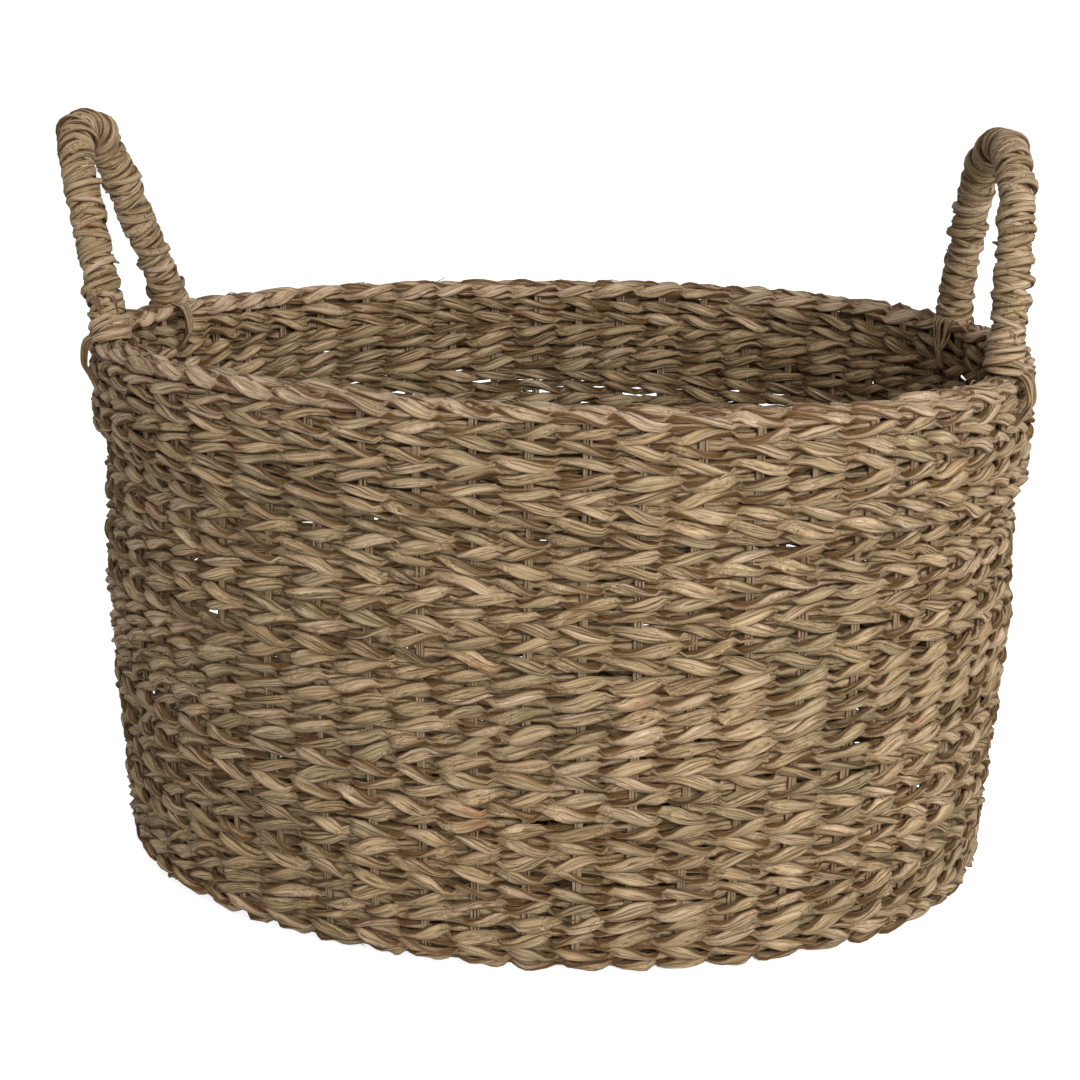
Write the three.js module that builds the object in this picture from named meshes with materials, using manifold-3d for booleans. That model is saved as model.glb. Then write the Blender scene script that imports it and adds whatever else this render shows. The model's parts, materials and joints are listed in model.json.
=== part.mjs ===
import * as THREE from 'three';
import { mergeVertices } from 'three/addons/utils/BufferGeometryUtils.js';
import Module from 'manifold-3d';

// An oval twined seagrass basket: woven base and wall on bent stakes, a wall folded
// outward at the rim into a collar, and two wrapped handles tied to the rim.
// Millimetres, Z up, X along the length, the front at -Y. The origin is the middle of
// the underside.

// Outer size of the basket without its handles
const RIM_LENGTH = 420;
const RIM_DEPTH = 288;
const HEIGHT = 248;

// Weave thicknesses, how far the foot and the belly stand in from the rim all round, and
// the foot's round corner
const WALL_THICKNESS = 6.5;
const BASE_THICKNESS = 9;
const COLLAR_THICKNESS = 6.8;
const FOOT_INSET = 9;
const BELLY_INSET = 2.5;
const BELLY_HEIGHT = 130;
const CORNER_RADIUS = 14;

// The rim's rounded border, plaited over the folded stakes, and the collar that hangs from it.
// The collar's lower edge slants: it is this much lower at the right end than in the middle,
// and as much higher at the left end.
const RIM_HEIGHT = 11;
const RIM_PROUD = 0.8;
const RIM_THICKNESS = 1.7;
const RIM_SHOULDER_SHARE = 1 / 3;
const COLLAR_HEIGHT = 49;
const COLLAR_GAP = 1;
const COLLAR_SLANT = 7;

// Stakes, the stiff spokes that the strands are twined round
const STAKE = 2.6;
const STAKE_SPACING = 20;
const CROSS_STAKES = 13;
const LONG_STAKES = 14;
const LONG_STAKE_SPACING = 11;
const FAN_HALF_LENGTH = 108;
const LONG_STAKE_LEVEL = 2.6;
const CROSS_STAKE_LEVEL = 6.2;

// Handles: a bundle core bent to an arch whose legs lean together, wrapped with one long strip.
// Each foot stands over a gap between long stakes, with this many stakes from there to the
// middle of its end.
const RIGHT_FRONT_STAKES = 3;
const RIGHT_REAR_STAKES = 4;
const LEFT_REAR_STAKES = 3;
const LEFT_FRONT_STAKES = 3;
const RIGHT_LEAN_DEGREES = 3;
const LEFT_LEAN_DEGREES = 15.5;
const RIGHT_TAPER_DEGREES = 12;
const LEFT_TAPER_DEGREES = 18;
const RIGHT_RISE = 80;
const LEFT_RISE = 83;
const CORE_DIAMETER = 11.6;
const STRIP_THICKNESS = 1.8;
const STRIP_GAP = 0.6;
const STRIP_CLEARANCE = 0.4;
const WRAP_LOOPS = 24;
const WRAP_START = 5;

// Lashes: flat bundles of strips that tie each handle foot through the wall
const LASH_WIDTH = 5.4;
const LASH_THICKNESS = 1.6;
const LASH_DROP = 23;
const LASH_RISE = 1.6;
const LASH_STAND_OFF = 2.6;

// Clearance between pieces that lie against each other, and the overrun of a cut
const SEAT = 0.3;
const OVERRUN = 2;

// How finely round shapes are cut into flats
const OVAL_STEPS = 48;
const CORNER_STEPS = 3;
const RIM_STEPS = 6;
const FOLD_STEPS = 2;
const ARCH_STEPS = 16;
const CORE_SIDES = 8;
const LOOP_STEPS = 8;

const wasm = await Module();
wasm.setup();

// Sizes that follow from the ones above
const rimHalfLength = RIM_LENGTH / 2;
const ovalDifference = (RIM_LENGTH - RIM_DEPTH) / 2;
const rimFloor = HEIGHT - RIM_HEIGHT;
const collarInside = rimHalfLength - COLLAR_THICKNESS;
const wallTopOutside = collarInside - COLLAR_GAP;
const collarFloor = HEIGHT - COLLAR_HEIGHT;
const footHalfLength = rimHalfLength - FOOT_INSET;
const bellyHalfLength = rimHalfLength - BELLY_INSET;
const plateHalfLength = footHalfLength - CORNER_RADIUS;
const collarStakeLine = rimHalfLength - COLLAR_THICKNESS / 2;
const wallStakeLine = wallTopOutside - WALL_THICKNESS / 2;
const rimInside = wallTopOutside - WALL_THICKNESS - RIM_PROUD;
const rimMiddle = (rimHalfLength + rimInside) / 2;
const rimHalfWidth = (rimHalfLength - rimInside) / 2;
const coreRadius = CORE_DIAMETER / 2;
const hingeHeight = HEIGHT + SEAT + coreRadius;
const lastCrossAngle = ovalAngleAtX(plateHalfLength, crossStakeX(CROSS_STAKES - 1));
const longStakeAngle = lastCrossAngle / ((LONG_STAKES + 1) / 2);
const rightHandle = handleSeat(0, RIGHT_FRONT_STAKES, RIGHT_REAR_STAKES, {
  lean: THREE.MathUtils.degToRad(RIGHT_LEAN_DEGREES),
  taper: THREE.MathUtils.degToRad(RIGHT_TAPER_DEGREES),
  rise: RIGHT_RISE,
});
const leftHandle = handleSeat(Math.PI, LEFT_REAR_STAKES, LEFT_FRONT_STAKES, {
  lean: THREE.MathUtils.degToRad(LEFT_LEAN_DEGREES),
  taper: THREE.MathUtils.degToRad(LEFT_TAPER_DEGREES),
  rise: LEFT_RISE,
});

// The oval is an ellipse; every outline is set off from it by the same amount all round
function ovalPoint(halfLength, angle, z) {
  const halfDepth = halfLength - ovalDifference;
  return new THREE.Vector3(halfLength * Math.cos(angle), halfDepth * Math.sin(angle), z);
}

function ovalAngleAtX(halfLength, x) {
  return Math.acos(THREE.MathUtils.clamp(x / halfLength, -1, 1));
}

// Outward direction, level, at one place of the oval
function ovalOutward(halfLength, angle) {
  const halfDepth = halfLength - ovalDifference;
  return new THREE.Vector3(Math.cos(angle) / halfLength, Math.sin(angle) / halfDepth, 0).normalize();
}

// Outer half length of the wall at a height: straight from foot to belly and on to the rim
function wallOutside(z) {
  if (z < BELLY_HEIGHT) {
    return THREE.MathUtils.mapLinear(z, CORNER_RADIUS, BELLY_HEIGHT, footHalfLength, bellyHalfLength);
  }
  return THREE.MathUtils.mapLinear(z, BELLY_HEIGHT, rimFloor, bellyHalfLength, wallTopOutside);
}

// The collar's lower edge slants along the length
function collarFloorAt(x) {
  return collarFloor - COLLAR_SLANT * x / rimHalfLength;
}

// Where a handle stands: the angles of its feet on the oval, the middle and turn of the line
// through them, and the sizes of its arch, two straight legs that a bend joins. The feet lie
// before and after the oval's end as one goes counter-clockwise.
function handleSeat(endAngle, stakesBefore, stakesAfter, { lean, taper, rise }) {
  const angles = [-stakesBefore, stakesAfter].map((stakes) => endAngle + stakes * longStakeAngle);
  const [first, second] = angles.map((angle) => ovalPoint(rimMiddle, angle, hingeHeight));
  const span = second.clone().sub(first);
  const halfSpan = span.length() / 2;
  const drawnIn = 1 - Math.sin(taper);
  const radius = (halfSpan * Math.cos(taper) - rise * Math.sin(taper)) / drawnIn;
  const straight = (rise - radius * drawnIn) / Math.cos(taper);
  const bend = Math.PI - 2 * taper;
  return {
    angles,
    middle: first.clone().addScaledVector(span, 1 / 2),
    turn: Math.atan2(-span.x, span.y),
    lean,
    taper,
    halfSpan,
    radius,
    straight,
    bend,
    length: bend * radius + 2 * straight,
  };
}

// A closed profile carried round the oval
function ovalRing(profile) {
  const closed = [...profile, profile[0].clone()];
  const geometry = new THREE.LatheGeometry(closed, OVAL_STEPS);
  geometry.rotateX(Math.PI / 2);
  const place = geometry.getAttribute('position');
  for (let i = 0; i < place.count; i += 1) {
    const reach = Math.hypot(place.getX(i), place.getY(i));
    place.setY(i, place.getY(i) * (reach - ovalDifference) / reach);
  }
  return geometry;
}

function ovalPlate(halfLength, thickness) {
  const outline = [];
  for (let i = 0; i < OVAL_STEPS; i += 1) {
    const place = ovalPoint(halfLength, 2 * Math.PI * i / OVAL_STEPS, 0);
    outline.push(new THREE.Vector2(place.x, place.y));
  }
  return new THREE.ExtrudeGeometry(new THREE.Shape(outline), {
    depth: thickness, bevelEnabled: false,
  });
}

// A route through chosen points, with the direction that a strip's width keeps at each
class Route extends THREE.Curve {
  constructor(points, widths) {
    super();
    this.points = points;
    this.widths = widths;
  }

  getPoint(share) {
    return this.points[Math.round(share * (this.points.length - 1))].clone();
  }

  getSpacedPoints() {
    return this.points.map((point) => point.clone());
  }

  computeFrenetFrames() {
    const last = this.points.length - 1;
    const tangents = this.points.map((point, i) => {
      const before = this.points[Math.max(i - 1, 0)];
      const after = this.points[Math.min(i + 1, last)];
      const arriving = point.clone().sub(before).normalize();
      const leaving = after.clone().sub(point).normalize();
      return arriving.add(leaving).normalize();
    });
    const normals = tangents.map((tangent, i) => (
      this.widths[i].clone().addScaledVector(tangent, -this.widths[i].dot(tangent)).normalize()
    ));
    const binormals = tangents.map((tangent, i) => tangent.clone().cross(normals[i]).normalize());
    return { tangents, normals, binormals };
  }
}

function strip(points, widths, width, thickness) {
  const section = new THREE.Shape([
    new THREE.Vector2(-width / 2, -thickness / 2),
    new THREE.Vector2(width / 2, -thickness / 2),
    new THREE.Vector2(width / 2, thickness / 2),
    new THREE.Vector2(-width / 2, thickness / 2),
  ]);
  return new THREE.ExtrudeGeometry(section, {
    steps: points.length - 1, bevelEnabled: false, extrudePath: new Route(points, widths),
  });
}

function roundBar(points, widths, radius, sides) {
  const outline = [];
  for (let i = 0; i < sides; i += 1) {
    const turn = 2 * Math.PI * (i + 0.5) / sides;
    outline.push(new THREE.Vector2(radius * Math.cos(turn), radius * Math.sin(turn)));
  }
  return new THREE.ExtrudeGeometry(new THREE.Shape(outline), {
    steps: points.length - 1, bevelEnabled: false, extrudePath: new Route(points, widths),
  });
}

// Joining and cutting of closed shapes
function toSolid(geometry) {
  const bare = geometry.clone();
  bare.deleteAttribute('normal');
  bare.deleteAttribute('uv');
  const merged = mergeVertices(bare);
  const vertProperties = new Float32Array(merged.getAttribute('position').array);
  const triVerts = new Uint32Array(merged.getIndex().array);
  return new wasm.Manifold(new wasm.Mesh({ numProp: 3, vertProperties, triVerts }));
}

function toGeometry(solid) {
  const mesh = solid.getMesh();
  const geometry = new THREE.BufferGeometry();
  geometry.setAttribute('position', new THREE.BufferAttribute(mesh.vertProperties, 3));
  geometry.setIndex(new THREE.BufferAttribute(mesh.triVerts, 1));
  geometry.computeVertexNormals();
  return geometry;
}

function cutAway(geometry, cutters) {
  let solid = toSolid(geometry);
  for (const cutter of cutters) solid = solid.subtract(toSolid(cutter));
  return toGeometry(solid);
}

// Woven bodies of the basket, before the stakes' channels are cut
function baseWeave() {
  return ovalPlate(plateHalfLength - SEAT, BASE_THICKNESS);
}

function wallProfile() {
  const profile = [new THREE.Vector2(plateHalfLength, 0)];
  for (let i = 1; i <= CORNER_STEPS; i += 1) {
    const turn = Math.PI / 2 * i / CORNER_STEPS;
    profile.push(new THREE.Vector2(
      plateHalfLength + CORNER_RADIUS * Math.sin(turn),
      CORNER_RADIUS * (1 - Math.cos(turn)),
    ));
  }
  profile.push(new THREE.Vector2(wallOutside(BELLY_HEIGHT), BELLY_HEIGHT));
  profile.push(new THREE.Vector2(wallTopOutside, rimFloor));
  profile.push(new THREE.Vector2(wallTopOutside - WALL_THICKNESS, rimFloor));
  profile.push(new THREE.Vector2(wallOutside(BELLY_HEIGHT) - WALL_THICKNESS, BELLY_HEIGHT));
  for (let i = CORNER_STEPS - 1; i >= 0; i -= 1) {
    const turn = Math.PI / 2 * i / (CORNER_STEPS - 1);
    profile.push(new THREE.Vector2(
      plateHalfLength + (CORNER_RADIUS - WALL_THICKNESS) * Math.sin(turn),
      CORNER_RADIUS - (CORNER_RADIUS - BASE_THICKNESS) * Math.cos(turn),
    ));
  }
  return profile;
}

function wallWeave() {
  return ovalRing(wallProfile());
}

// One face of the rim's rounded section, from its outer foot over the top to its inner foot
function rimArch(halfWidth, floor, top) {
  const shoulder = floor + RIM_SHOULDER_SHARE * RIM_HEIGHT;
  const arch = [new THREE.Vector2(rimMiddle + halfWidth, floor)];
  for (let i = 0; i <= RIM_STEPS; i += 1) {
    const turn = Math.PI * i / RIM_STEPS;
    arch.push(new THREE.Vector2(
      rimMiddle + halfWidth * Math.cos(turn),
      shoulder + (top - shoulder) * Math.sin(turn),
    ));
  }
  arch.push(new THREE.Vector2(rimMiddle - halfWidth, floor));
  return arch;
}

function rimBorder() {
  const floor = rimFloor + SEAT;
  const outer = rimArch(rimHalfWidth, floor, HEIGHT);
  const inner = rimArch(rimHalfWidth - RIM_THICKNESS, floor, HEIGHT - RIM_THICKNESS);
  return ovalRing([...outer, ...inner.reverse()]);
}

// The collar's outer face is upright and its inner face follows the wall
function collarWeave() {
  const lowest = collarFloorAt(rimHalfLength);
  const ring = ovalRing([
    new THREE.Vector2(wallOutside(lowest) + COLLAR_GAP, lowest),
    new THREE.Vector2(rimHalfLength, lowest),
    new THREE.Vector2(rimHalfLength, rimFloor),
    new THREE.Vector2(collarInside, rimFloor),
  ]);
  const place = ring.getAttribute('position');
  for (let i = 0; i < place.count; i += 1) {
    if (place.getZ(i) < collarFloor) place.setZ(i, collarFloorAt(place.getX(i)));
  }
  return ring;
}

// One end of a stake, from the base up the wall, over inside the rim and down the collar
function stakeEnd(level, angle) {
  const stemHeight = CORNER_RADIUS - level;
  const bendReach = CORNER_RADIUS - WALL_THICKNESS / 2;
  const bendShare = Math.SQRT1_2;
  const foldRadius = (collarStakeLine - wallStakeLine) / 2;
  const foldHeight = HEIGHT - RIM_THICKNESS - 2 * SEAT - STAKE / 2 - foldRadius;
  const points = [
    ovalPoint(plateHalfLength, angle, level),
    ovalPoint(plateHalfLength + bendShare * bendReach, angle, CORNER_RADIUS - bendShare * stemHeight),
    ovalPoint(plateHalfLength + bendReach, angle, CORNER_RADIUS),
    ovalPoint(wallOutside(BELLY_HEIGHT) - WALL_THICKNESS / 2, angle, BELLY_HEIGHT),
  ];
  for (let i = 0; i <= FOLD_STEPS; i += 1) {
    const turn = Math.PI * i / FOLD_STEPS;
    points.push(ovalPoint(
      wallStakeLine + foldRadius * (1 - Math.cos(turn)),
      angle,
      foldHeight + foldRadius * Math.sin(turn),
    ));
  }
  const end = ovalPoint(collarStakeLine, angle, collarFloor);
  points.push(end.setZ(collarFloorAt(end.x)));
  return points;
}

// The direction along the oval at each point of a stake's end, which its width keeps
function alongOval(points, angle) {
  const outward = ovalOutward(footHalfLength, angle);
  return points.map(() => new THREE.Vector3(-outward.y, outward.x, 0));
}

function joinEnds(first, middle, second) {
  const points = [...first.points].reverse().concat(middle, second.points);
  const start = [...first.widths].reverse();
  const end = second.widths.map((width) => width.clone().multiplyScalar(first.sign));
  const between = middle.map(() => first.middleWidth.clone());
  return { points, widths: start.concat(between, end) };
}

function crossStakeRoute(x) {
  const angle = ovalAngleAtX(plateHalfLength, x);
  const back = stakeEnd(CROSS_STAKE_LEVEL, angle);
  const front = stakeEnd(CROSS_STAKE_LEVEL, -angle);
  return joinEnds(
    { points: back, widths: alongOval(back, angle), sign: -1, middleWidth: new THREE.Vector3(-1, 0, 0) },
    [],
    { points: front, widths: alongOval(front, -angle) },
  );
}

// Long stakes run side by side, then fan out over the rounded ends
function longStakeRoute(index) {
  const rank = index - (LONG_STAKES - 1) / 2;
  const angle = longStakeAngle * rank;
  const y = rank * LONG_STAKE_SPACING;
  const right = stakeEnd(LONG_STAKE_LEVEL, angle);
  const left = stakeEnd(LONG_STAKE_LEVEL, Math.PI - angle);
  const middle = [
    new THREE.Vector3(FAN_HALF_LENGTH, y, LONG_STAKE_LEVEL),
    new THREE.Vector3(-FAN_HALF_LENGTH, y, LONG_STAKE_LEVEL),
  ];
  return joinEnds(
    { points: right, widths: alongOval(right, angle), sign: -1, middleWidth: new THREE.Vector3(0, 1, 0) },
    middle,
    { points: left, widths: alongOval(left, Math.PI - angle) },
  );
}

function crossStakeX(index) {
  return (index - (CROSS_STAKES - 1) / 2) * STAKE_SPACING;
}

function stakeRoutes() {
  const routes = [];
  for (let i = 0; i < CROSS_STAKES; i += 1) {
    routes.push({ name: `cross_stake_${i + 1}`, ...crossStakeRoute(crossStakeX(i)) });
  }
  for (let i = 0; i < LONG_STAKES; i += 1) {
    routes.push({ name: `long_stake_${i + 1}`, ...longStakeRoute(i) });
  }
  return routes;
}

function stakeShape(route, clearance, overrun) {
  const points = route.points.map((point) => point.clone());
  points[0].z -= overrun;
  points[points.length - 1].z -= overrun;
  const size = STAKE + 2 * clearance;
  return strip(points, route.widths, size, size);
}

// A handle's arch in its own frame: feet on the Y axis, rising along Z, leaning towards +X
function archPoints(handle) {
  const points = [archAt(handle, 0).place];
  for (let i = 0; i <= ARCH_STEPS; i += 1) {
    const share = i / ARCH_STEPS;
    points.push(archAt(handle, handle.straight + handle.bend * handle.radius * share).place);
  }
  points.push(archAt(handle, handle.length).place);
  return points;
}

// Place and inward normal on the arch at a distance from its first foot
function archAt(handle, distance) {
  const { radius, straight, taper, bend } = handle;
  const turn = THREE.MathUtils.clamp((distance - straight) / radius, 0, bend);
  const beyond = distance - straight - turn * radius;
  const angle = taper + turn;
  const inward = new THREE.Vector3(0, Math.cos(angle), -Math.sin(angle));
  const along = new THREE.Vector3(0, Math.sin(angle), Math.cos(angle));
  const bendMiddle = straight * Math.cos(taper) - radius * Math.sin(taper);
  const place = new THREE.Vector3(0, 0, bendMiddle)
    .addScaledVector(inward, -radius)
    .addScaledVector(along, beyond);
  return { place, inward };
}

function handleCore(handle) {
  const points = archPoints(handle);
  const widths = points.map(() => new THREE.Vector3(1, 0, 0));
  const bar = toSolid(roundBar(points, widths, coreRadius, CORE_SIDES));
  const feet = [-1, 1].map((side) => {
    const ball = new THREE.SphereGeometry(coreRadius, CORE_SIDES, CORE_SIDES);
    ball.rotateX(Math.PI / 2);
    ball.rotateZ(Math.PI / CORE_SIDES);
    ball.rotateX(side * handle.taper);
    ball.translate(0, side * handle.halfSpan, 0);
    return toSolid(ball);
  });
  return toGeometry(bar.add(feet[0]).add(feet[1]));
}

// The wrapping: one flat strip wound round the core from foot to foot
function wrapRoute(handle) {
  const width = wrapWidth(handle);
  const usable = handle.length - 2 * WRAP_START - width;
  const steps = WRAP_LOOPS * LOOP_STEPS;
  const radius = coreRadius + STRIP_CLEARANCE + STRIP_THICKNESS / 2;
  const fit = radius / Math.cos(Math.PI / LOOP_STEPS);
  const points = [];
  const widths = [];
  for (let i = 0; i <= steps; i += 1) {
    const { place, inward } = archAt(handle, WRAP_START + width / 2 + usable * i / steps);
    const turn = 2 * Math.PI * i / LOOP_STEPS;
    const side = new THREE.Vector3(1, 0, 0);
    const out = side.multiplyScalar(Math.cos(turn)).addScaledVector(inward, Math.sin(turn));
    const along = inward.clone().cross(new THREE.Vector3(1, 0, 0));
    points.push(place.clone().addScaledVector(out, fit));
    widths.push(along);
  }
  return { points, widths };
}

// On the inside of the bend neighbouring turns come closer, so the strip is narrower
function wrapWidth(handle) {
  const pitch = (handle.length - 2 * WRAP_START) / (WRAP_LOOPS + 1);
  const innerRadius = handle.radius - coreRadius - STRIP_CLEARANCE - STRIP_THICKNESS;
  const innerShare = innerRadius / handle.radius;
  return pitch * innerShare - STRIP_GAP;
}

function handleWrap(handle) {
  const { points, widths } = wrapRoute(handle);
  return strip(points, widths, wrapWidth(handle), STRIP_THICKNESS);
}

// A lash rises from its slot on one side of the rim, meets the foot, and goes back
function lashRoute(angle, { lean, taper }) {
  const outside = rimHalfLength + LASH_STAND_OFF;
  const inside = wallTopOutside - WALL_THICKNESS - LASH_STAND_OFF;
  const slotHeight = HEIGHT - LASH_DROP;
  const leanOffset = LASH_RISE * (Math.sin(lean) + Math.sin(taper));
  const footOffset = coreRadius + leanOffset + SEAT + LASH_THICKNESS / 2;
  const endHeight = hingeHeight + LASH_RISE;
  const outline = [
    [rimMiddle + footOffset, endHeight],
    [rimMiddle + footOffset, hingeHeight],
    [outside, HEIGHT - RIM_HEIGHT / 2],
    [outside, slotHeight + LASH_THICKNESS],
    [outside - LASH_STAND_OFF / 2, slotHeight],
    [inside + LASH_STAND_OFF / 2, slotHeight],
    [inside, slotHeight + LASH_THICKNESS],
    [inside, HEIGHT - RIM_HEIGHT / 2],
    [rimMiddle - footOffset, hingeHeight],
    [rimMiddle - footOffset, endHeight],
  ];
  const outward = ovalOutward(rimMiddle, angle);
  const foot = ovalPoint(rimMiddle, angle, 0);
  const points = outline.map(([reach, z]) => (
    foot.clone().addScaledVector(outward, reach - rimMiddle).setZ(z)
  ));
  const width = new THREE.Vector3(-outward.y, outward.x, 0);
  return { points, widths: points.map(() => width.clone()) };
}

function lashShape(route, clearance) {
  return strip(route.points, route.widths, LASH_WIDTH + 2 * clearance, LASH_THICKNESS + 2 * clearance);
}

// The four lashes, each with its handle and its place on the oval
function lashes() {
  return [
    { name: 'lash_right_front', handle: rightHandle, angle: rightHandle.angles[0] },
    { name: 'lash_right_rear', handle: rightHandle, angle: rightHandle.angles[1] },
    { name: 'lash_left_rear', handle: leftHandle, angle: leftHandle.angles[0] },
    { name: 'lash_left_front', handle: leftHandle, angle: leftHandle.angles[1] },
  ];
}

// Least gap of a wrapping strip to itself, from points along its two edges
function leastWrapGap(handle) {
  const { points, widths } = wrapRoute(handle);
  const across = new Route(points, widths).computeFrenetFrames().normals;
  const reach = wrapWidth(handle) / 2;
  const edges = [-1, 1].map((side) => (
    points.map((point, i) => point.clone().addScaledVector(across[i], side * reach))
  ));
  let least = Infinity;
  for (let i = 0; i + LOOP_STEPS < points.length; i += 1) {
    least = Math.min(least, edges[1][i].distanceTo(edges[0][i + LOOP_STEPS]));
    least = Math.min(least, edges[0][i].distanceTo(edges[1][i + LOOP_STEPS]));
  }
  return least;
}

// Seagrass finishes
const seagrass = { color: 0x9c8560, roughness: 0.85, metalness: 0 };
const darkSeagrass = { color: 0x857253, roughness: 0.9, metalness: 0 };
const paleSeagrass = { color: 0xb09468, roughness: 0.8, metalness: 0 };

function piece(name, geometry, finish) {
  const mesh = new THREE.Mesh(geometry, new THREE.MeshStandardMaterial(finish));
  mesh.name = name;
  return mesh;
}

function buildBasket() {
  const basket = new THREE.Group();
  const routes = stakeRoutes();
  const channels = routes.map((route) => stakeShape(route, SEAT, OVERRUN));
  const ties = lashes().map(({ name, handle, angle }) => ({ name, route: lashRoute(angle, handle) }));
  const slots = ties.map((tie) => lashShape(tie.route, SEAT));
  basket.add(piece('base_weave', cutAway(baseWeave(), channels), darkSeagrass));
  basket.add(piece('wall_weave', cutAway(wallWeave(), [...channels, ...slots]), seagrass));
  basket.add(piece('rim_border', rimBorder(), seagrass));
  basket.add(piece('collar_weave', cutAway(collarWeave(), [...channels, ...slots]), seagrass));
  for (const route of routes) {
    basket.add(piece(route.name, stakeShape(route, 0, 0), paleSeagrass));
  }
  for (const tie of ties) {
    basket.add(piece(tie.name, lashShape(tie.route, 0), paleSeagrass));
  }
  return basket;
}

function buildHandle(name, seat) {
  const arch = new THREE.Group();
  arch.add(piece(`handle_core_${name}`, handleCore(seat), darkSeagrass));
  arch.add(piece(`handle_wrap_${name}`, handleWrap(seat), paleSeagrass));
  arch.rotation.y = seat.lean;
  const stand = new THREE.Group();
  stand.add(arch);
  stand.position.copy(seat.middle);
  stand.rotation.z = seat.turn;
  return stand;
}

const leastGap = Math.min(leastWrapGap(leftHandle), leastWrapGap(rightHandle));
console.log(`least gap of a wrapping strip to itself: ${leastGap.toFixed(2)} mm`);

const magazineBasket = new THREE.Group();
magazineBasket.add(buildBasket());
magazineBasket.add(buildHandle('left', leftHandle));
magazineBasket.add(buildHandle('right', rightHandle));

export default magazineBasket;
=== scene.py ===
import json
import math

import bpy
import numpy as np
from mathutils import Matrix, Vector


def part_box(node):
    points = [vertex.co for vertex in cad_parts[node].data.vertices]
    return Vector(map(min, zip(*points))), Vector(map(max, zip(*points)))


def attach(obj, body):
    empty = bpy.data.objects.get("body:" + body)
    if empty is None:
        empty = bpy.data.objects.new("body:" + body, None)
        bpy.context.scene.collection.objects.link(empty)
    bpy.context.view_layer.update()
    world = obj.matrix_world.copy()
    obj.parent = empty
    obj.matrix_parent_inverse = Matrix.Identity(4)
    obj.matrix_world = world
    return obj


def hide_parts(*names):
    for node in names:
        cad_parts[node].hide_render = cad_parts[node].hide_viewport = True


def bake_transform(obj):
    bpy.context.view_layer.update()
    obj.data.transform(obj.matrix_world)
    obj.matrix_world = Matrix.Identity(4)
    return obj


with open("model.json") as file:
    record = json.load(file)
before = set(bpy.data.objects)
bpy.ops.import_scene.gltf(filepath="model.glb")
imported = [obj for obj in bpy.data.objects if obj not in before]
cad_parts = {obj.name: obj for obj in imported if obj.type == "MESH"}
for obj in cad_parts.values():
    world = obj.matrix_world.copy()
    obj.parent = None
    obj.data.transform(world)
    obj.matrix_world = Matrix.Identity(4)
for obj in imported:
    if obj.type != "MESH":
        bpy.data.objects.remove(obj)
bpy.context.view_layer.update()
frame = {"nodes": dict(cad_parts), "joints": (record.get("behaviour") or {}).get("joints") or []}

bl_info = {
    "name": "Twined Seagrass Basket",
    "version": (1, 0, 0),
    "blender": (4, 5, 0),
    "location": "View3D > Sidebar > Basket",
    "description": "Weaves an oval seagrass basket with a folded collar and two wrapped handles",
    "category": "Add Mesh",
}

# Sizes that the frame gives, in metres
RIM_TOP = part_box("rim_border")[1]
RIM_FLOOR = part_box("rim_border")[0].z
COLLAR_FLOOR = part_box("collar_weave")[0].z
WALL_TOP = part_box("wall_weave")[1]
BASE_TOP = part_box("base_weave")[1]
OVAL_GAP = RIM_TOP.x - RIM_TOP.y
JOINTS = {joint["child"]: joint for joint in frame["joints"]}
# Each lash: its handle, front (-1) or rear (1) foot, bow outside and inside, roundness
LASH_FEET = {
    "lash_right_front": ("handle_right", -1, 0.004, 0.001, 0.0),
    "lash_right_rear": ("handle_right", 1, 0.001, 0.0, 1.0),
    "lash_left_rear": ("handle_left", 1, 0.001, 0.005, 0.0),
    "lash_left_front": ("handle_left", -1, 0.004, 0.001, 0.0),
}
UP = np.array([0.0, 0.0, 1.0])
# No point of the weave lies lower than this, in metres
LEAST_HEIGHT = 0.0002
# Steps of the paths: degrees round the foot, and metres along a stake
BASE_BEND_STEP = 15
STAKE_BEND_STEP = 18
STAKE_STEP = 0.008
# Cross stakes nearer to an oval's end than this share of its reach don't cross it
CROSSING_REACH = 0.8
# Rows have the collar's pitch from this share of the collar's height upwards
NARROW_FROM = 0.85
# How far a tube's section swells towards its four corners
BOXED = 0.35
# Chance of a twined row: shift of a crossing and of a whole row, as shares of the
# stakes' distance, sizes, climbs and flatness of grains, widths, tilts, standing out and
# thickness of blades, and how quickly one grain's colour turns into the next one's
CROSSING_SHIFT = 0.2
ROW_SHIFT = 0.15
GRAIN_SIZES = (0.76, 1.2)
GRAIN_CLIMBS = (0.4, 1.6)
GRAIN_FLATNESS = 0.8
BLADE_WIDTHS = (0.8, 1.25)
BLADE_TILT = 1.3
BLADE_STAND = 1.5
BLADE_THICKNESS = 0.8
GRAIN_EDGE = 2.5
# Where tone and kind lie, and how far they vary round a row and from grain to grain
TONE = (0.5, 0.13, 0.33)
KIND = (0.45, 0.2, 0.27)
ROW_TONE = 0.1
# Painted shade, as a share, at the crossings where a strand dives behind its neighbour
CROSSING_PAINTED_SHADE = 0.4
# The rim's rows, and a little the collar's, are painted paler: painted light on the basket's top
RIM_PAINTED_LIGHT = 0.42
COLLAR_PAINTED_LIGHT = 0.05
# Length, half width and curl of a strip's end; for the wrapping its tone and kind too
ROW_END = ((0.004, 0.009), (0.0005, 0.001), (0.0005, 0.0028))
WRAP_END = ((0.003, 0.0065), (0.0008, 0.0014), (0.0002, 0.0022), (0.5, 0.9), (0.1, 0.6))
# Shift, length and rise of a hair on the rim
HAIR = ((-0.005, 0.006), (0.006, 0.02), (0.0006, 0.0024))
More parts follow.
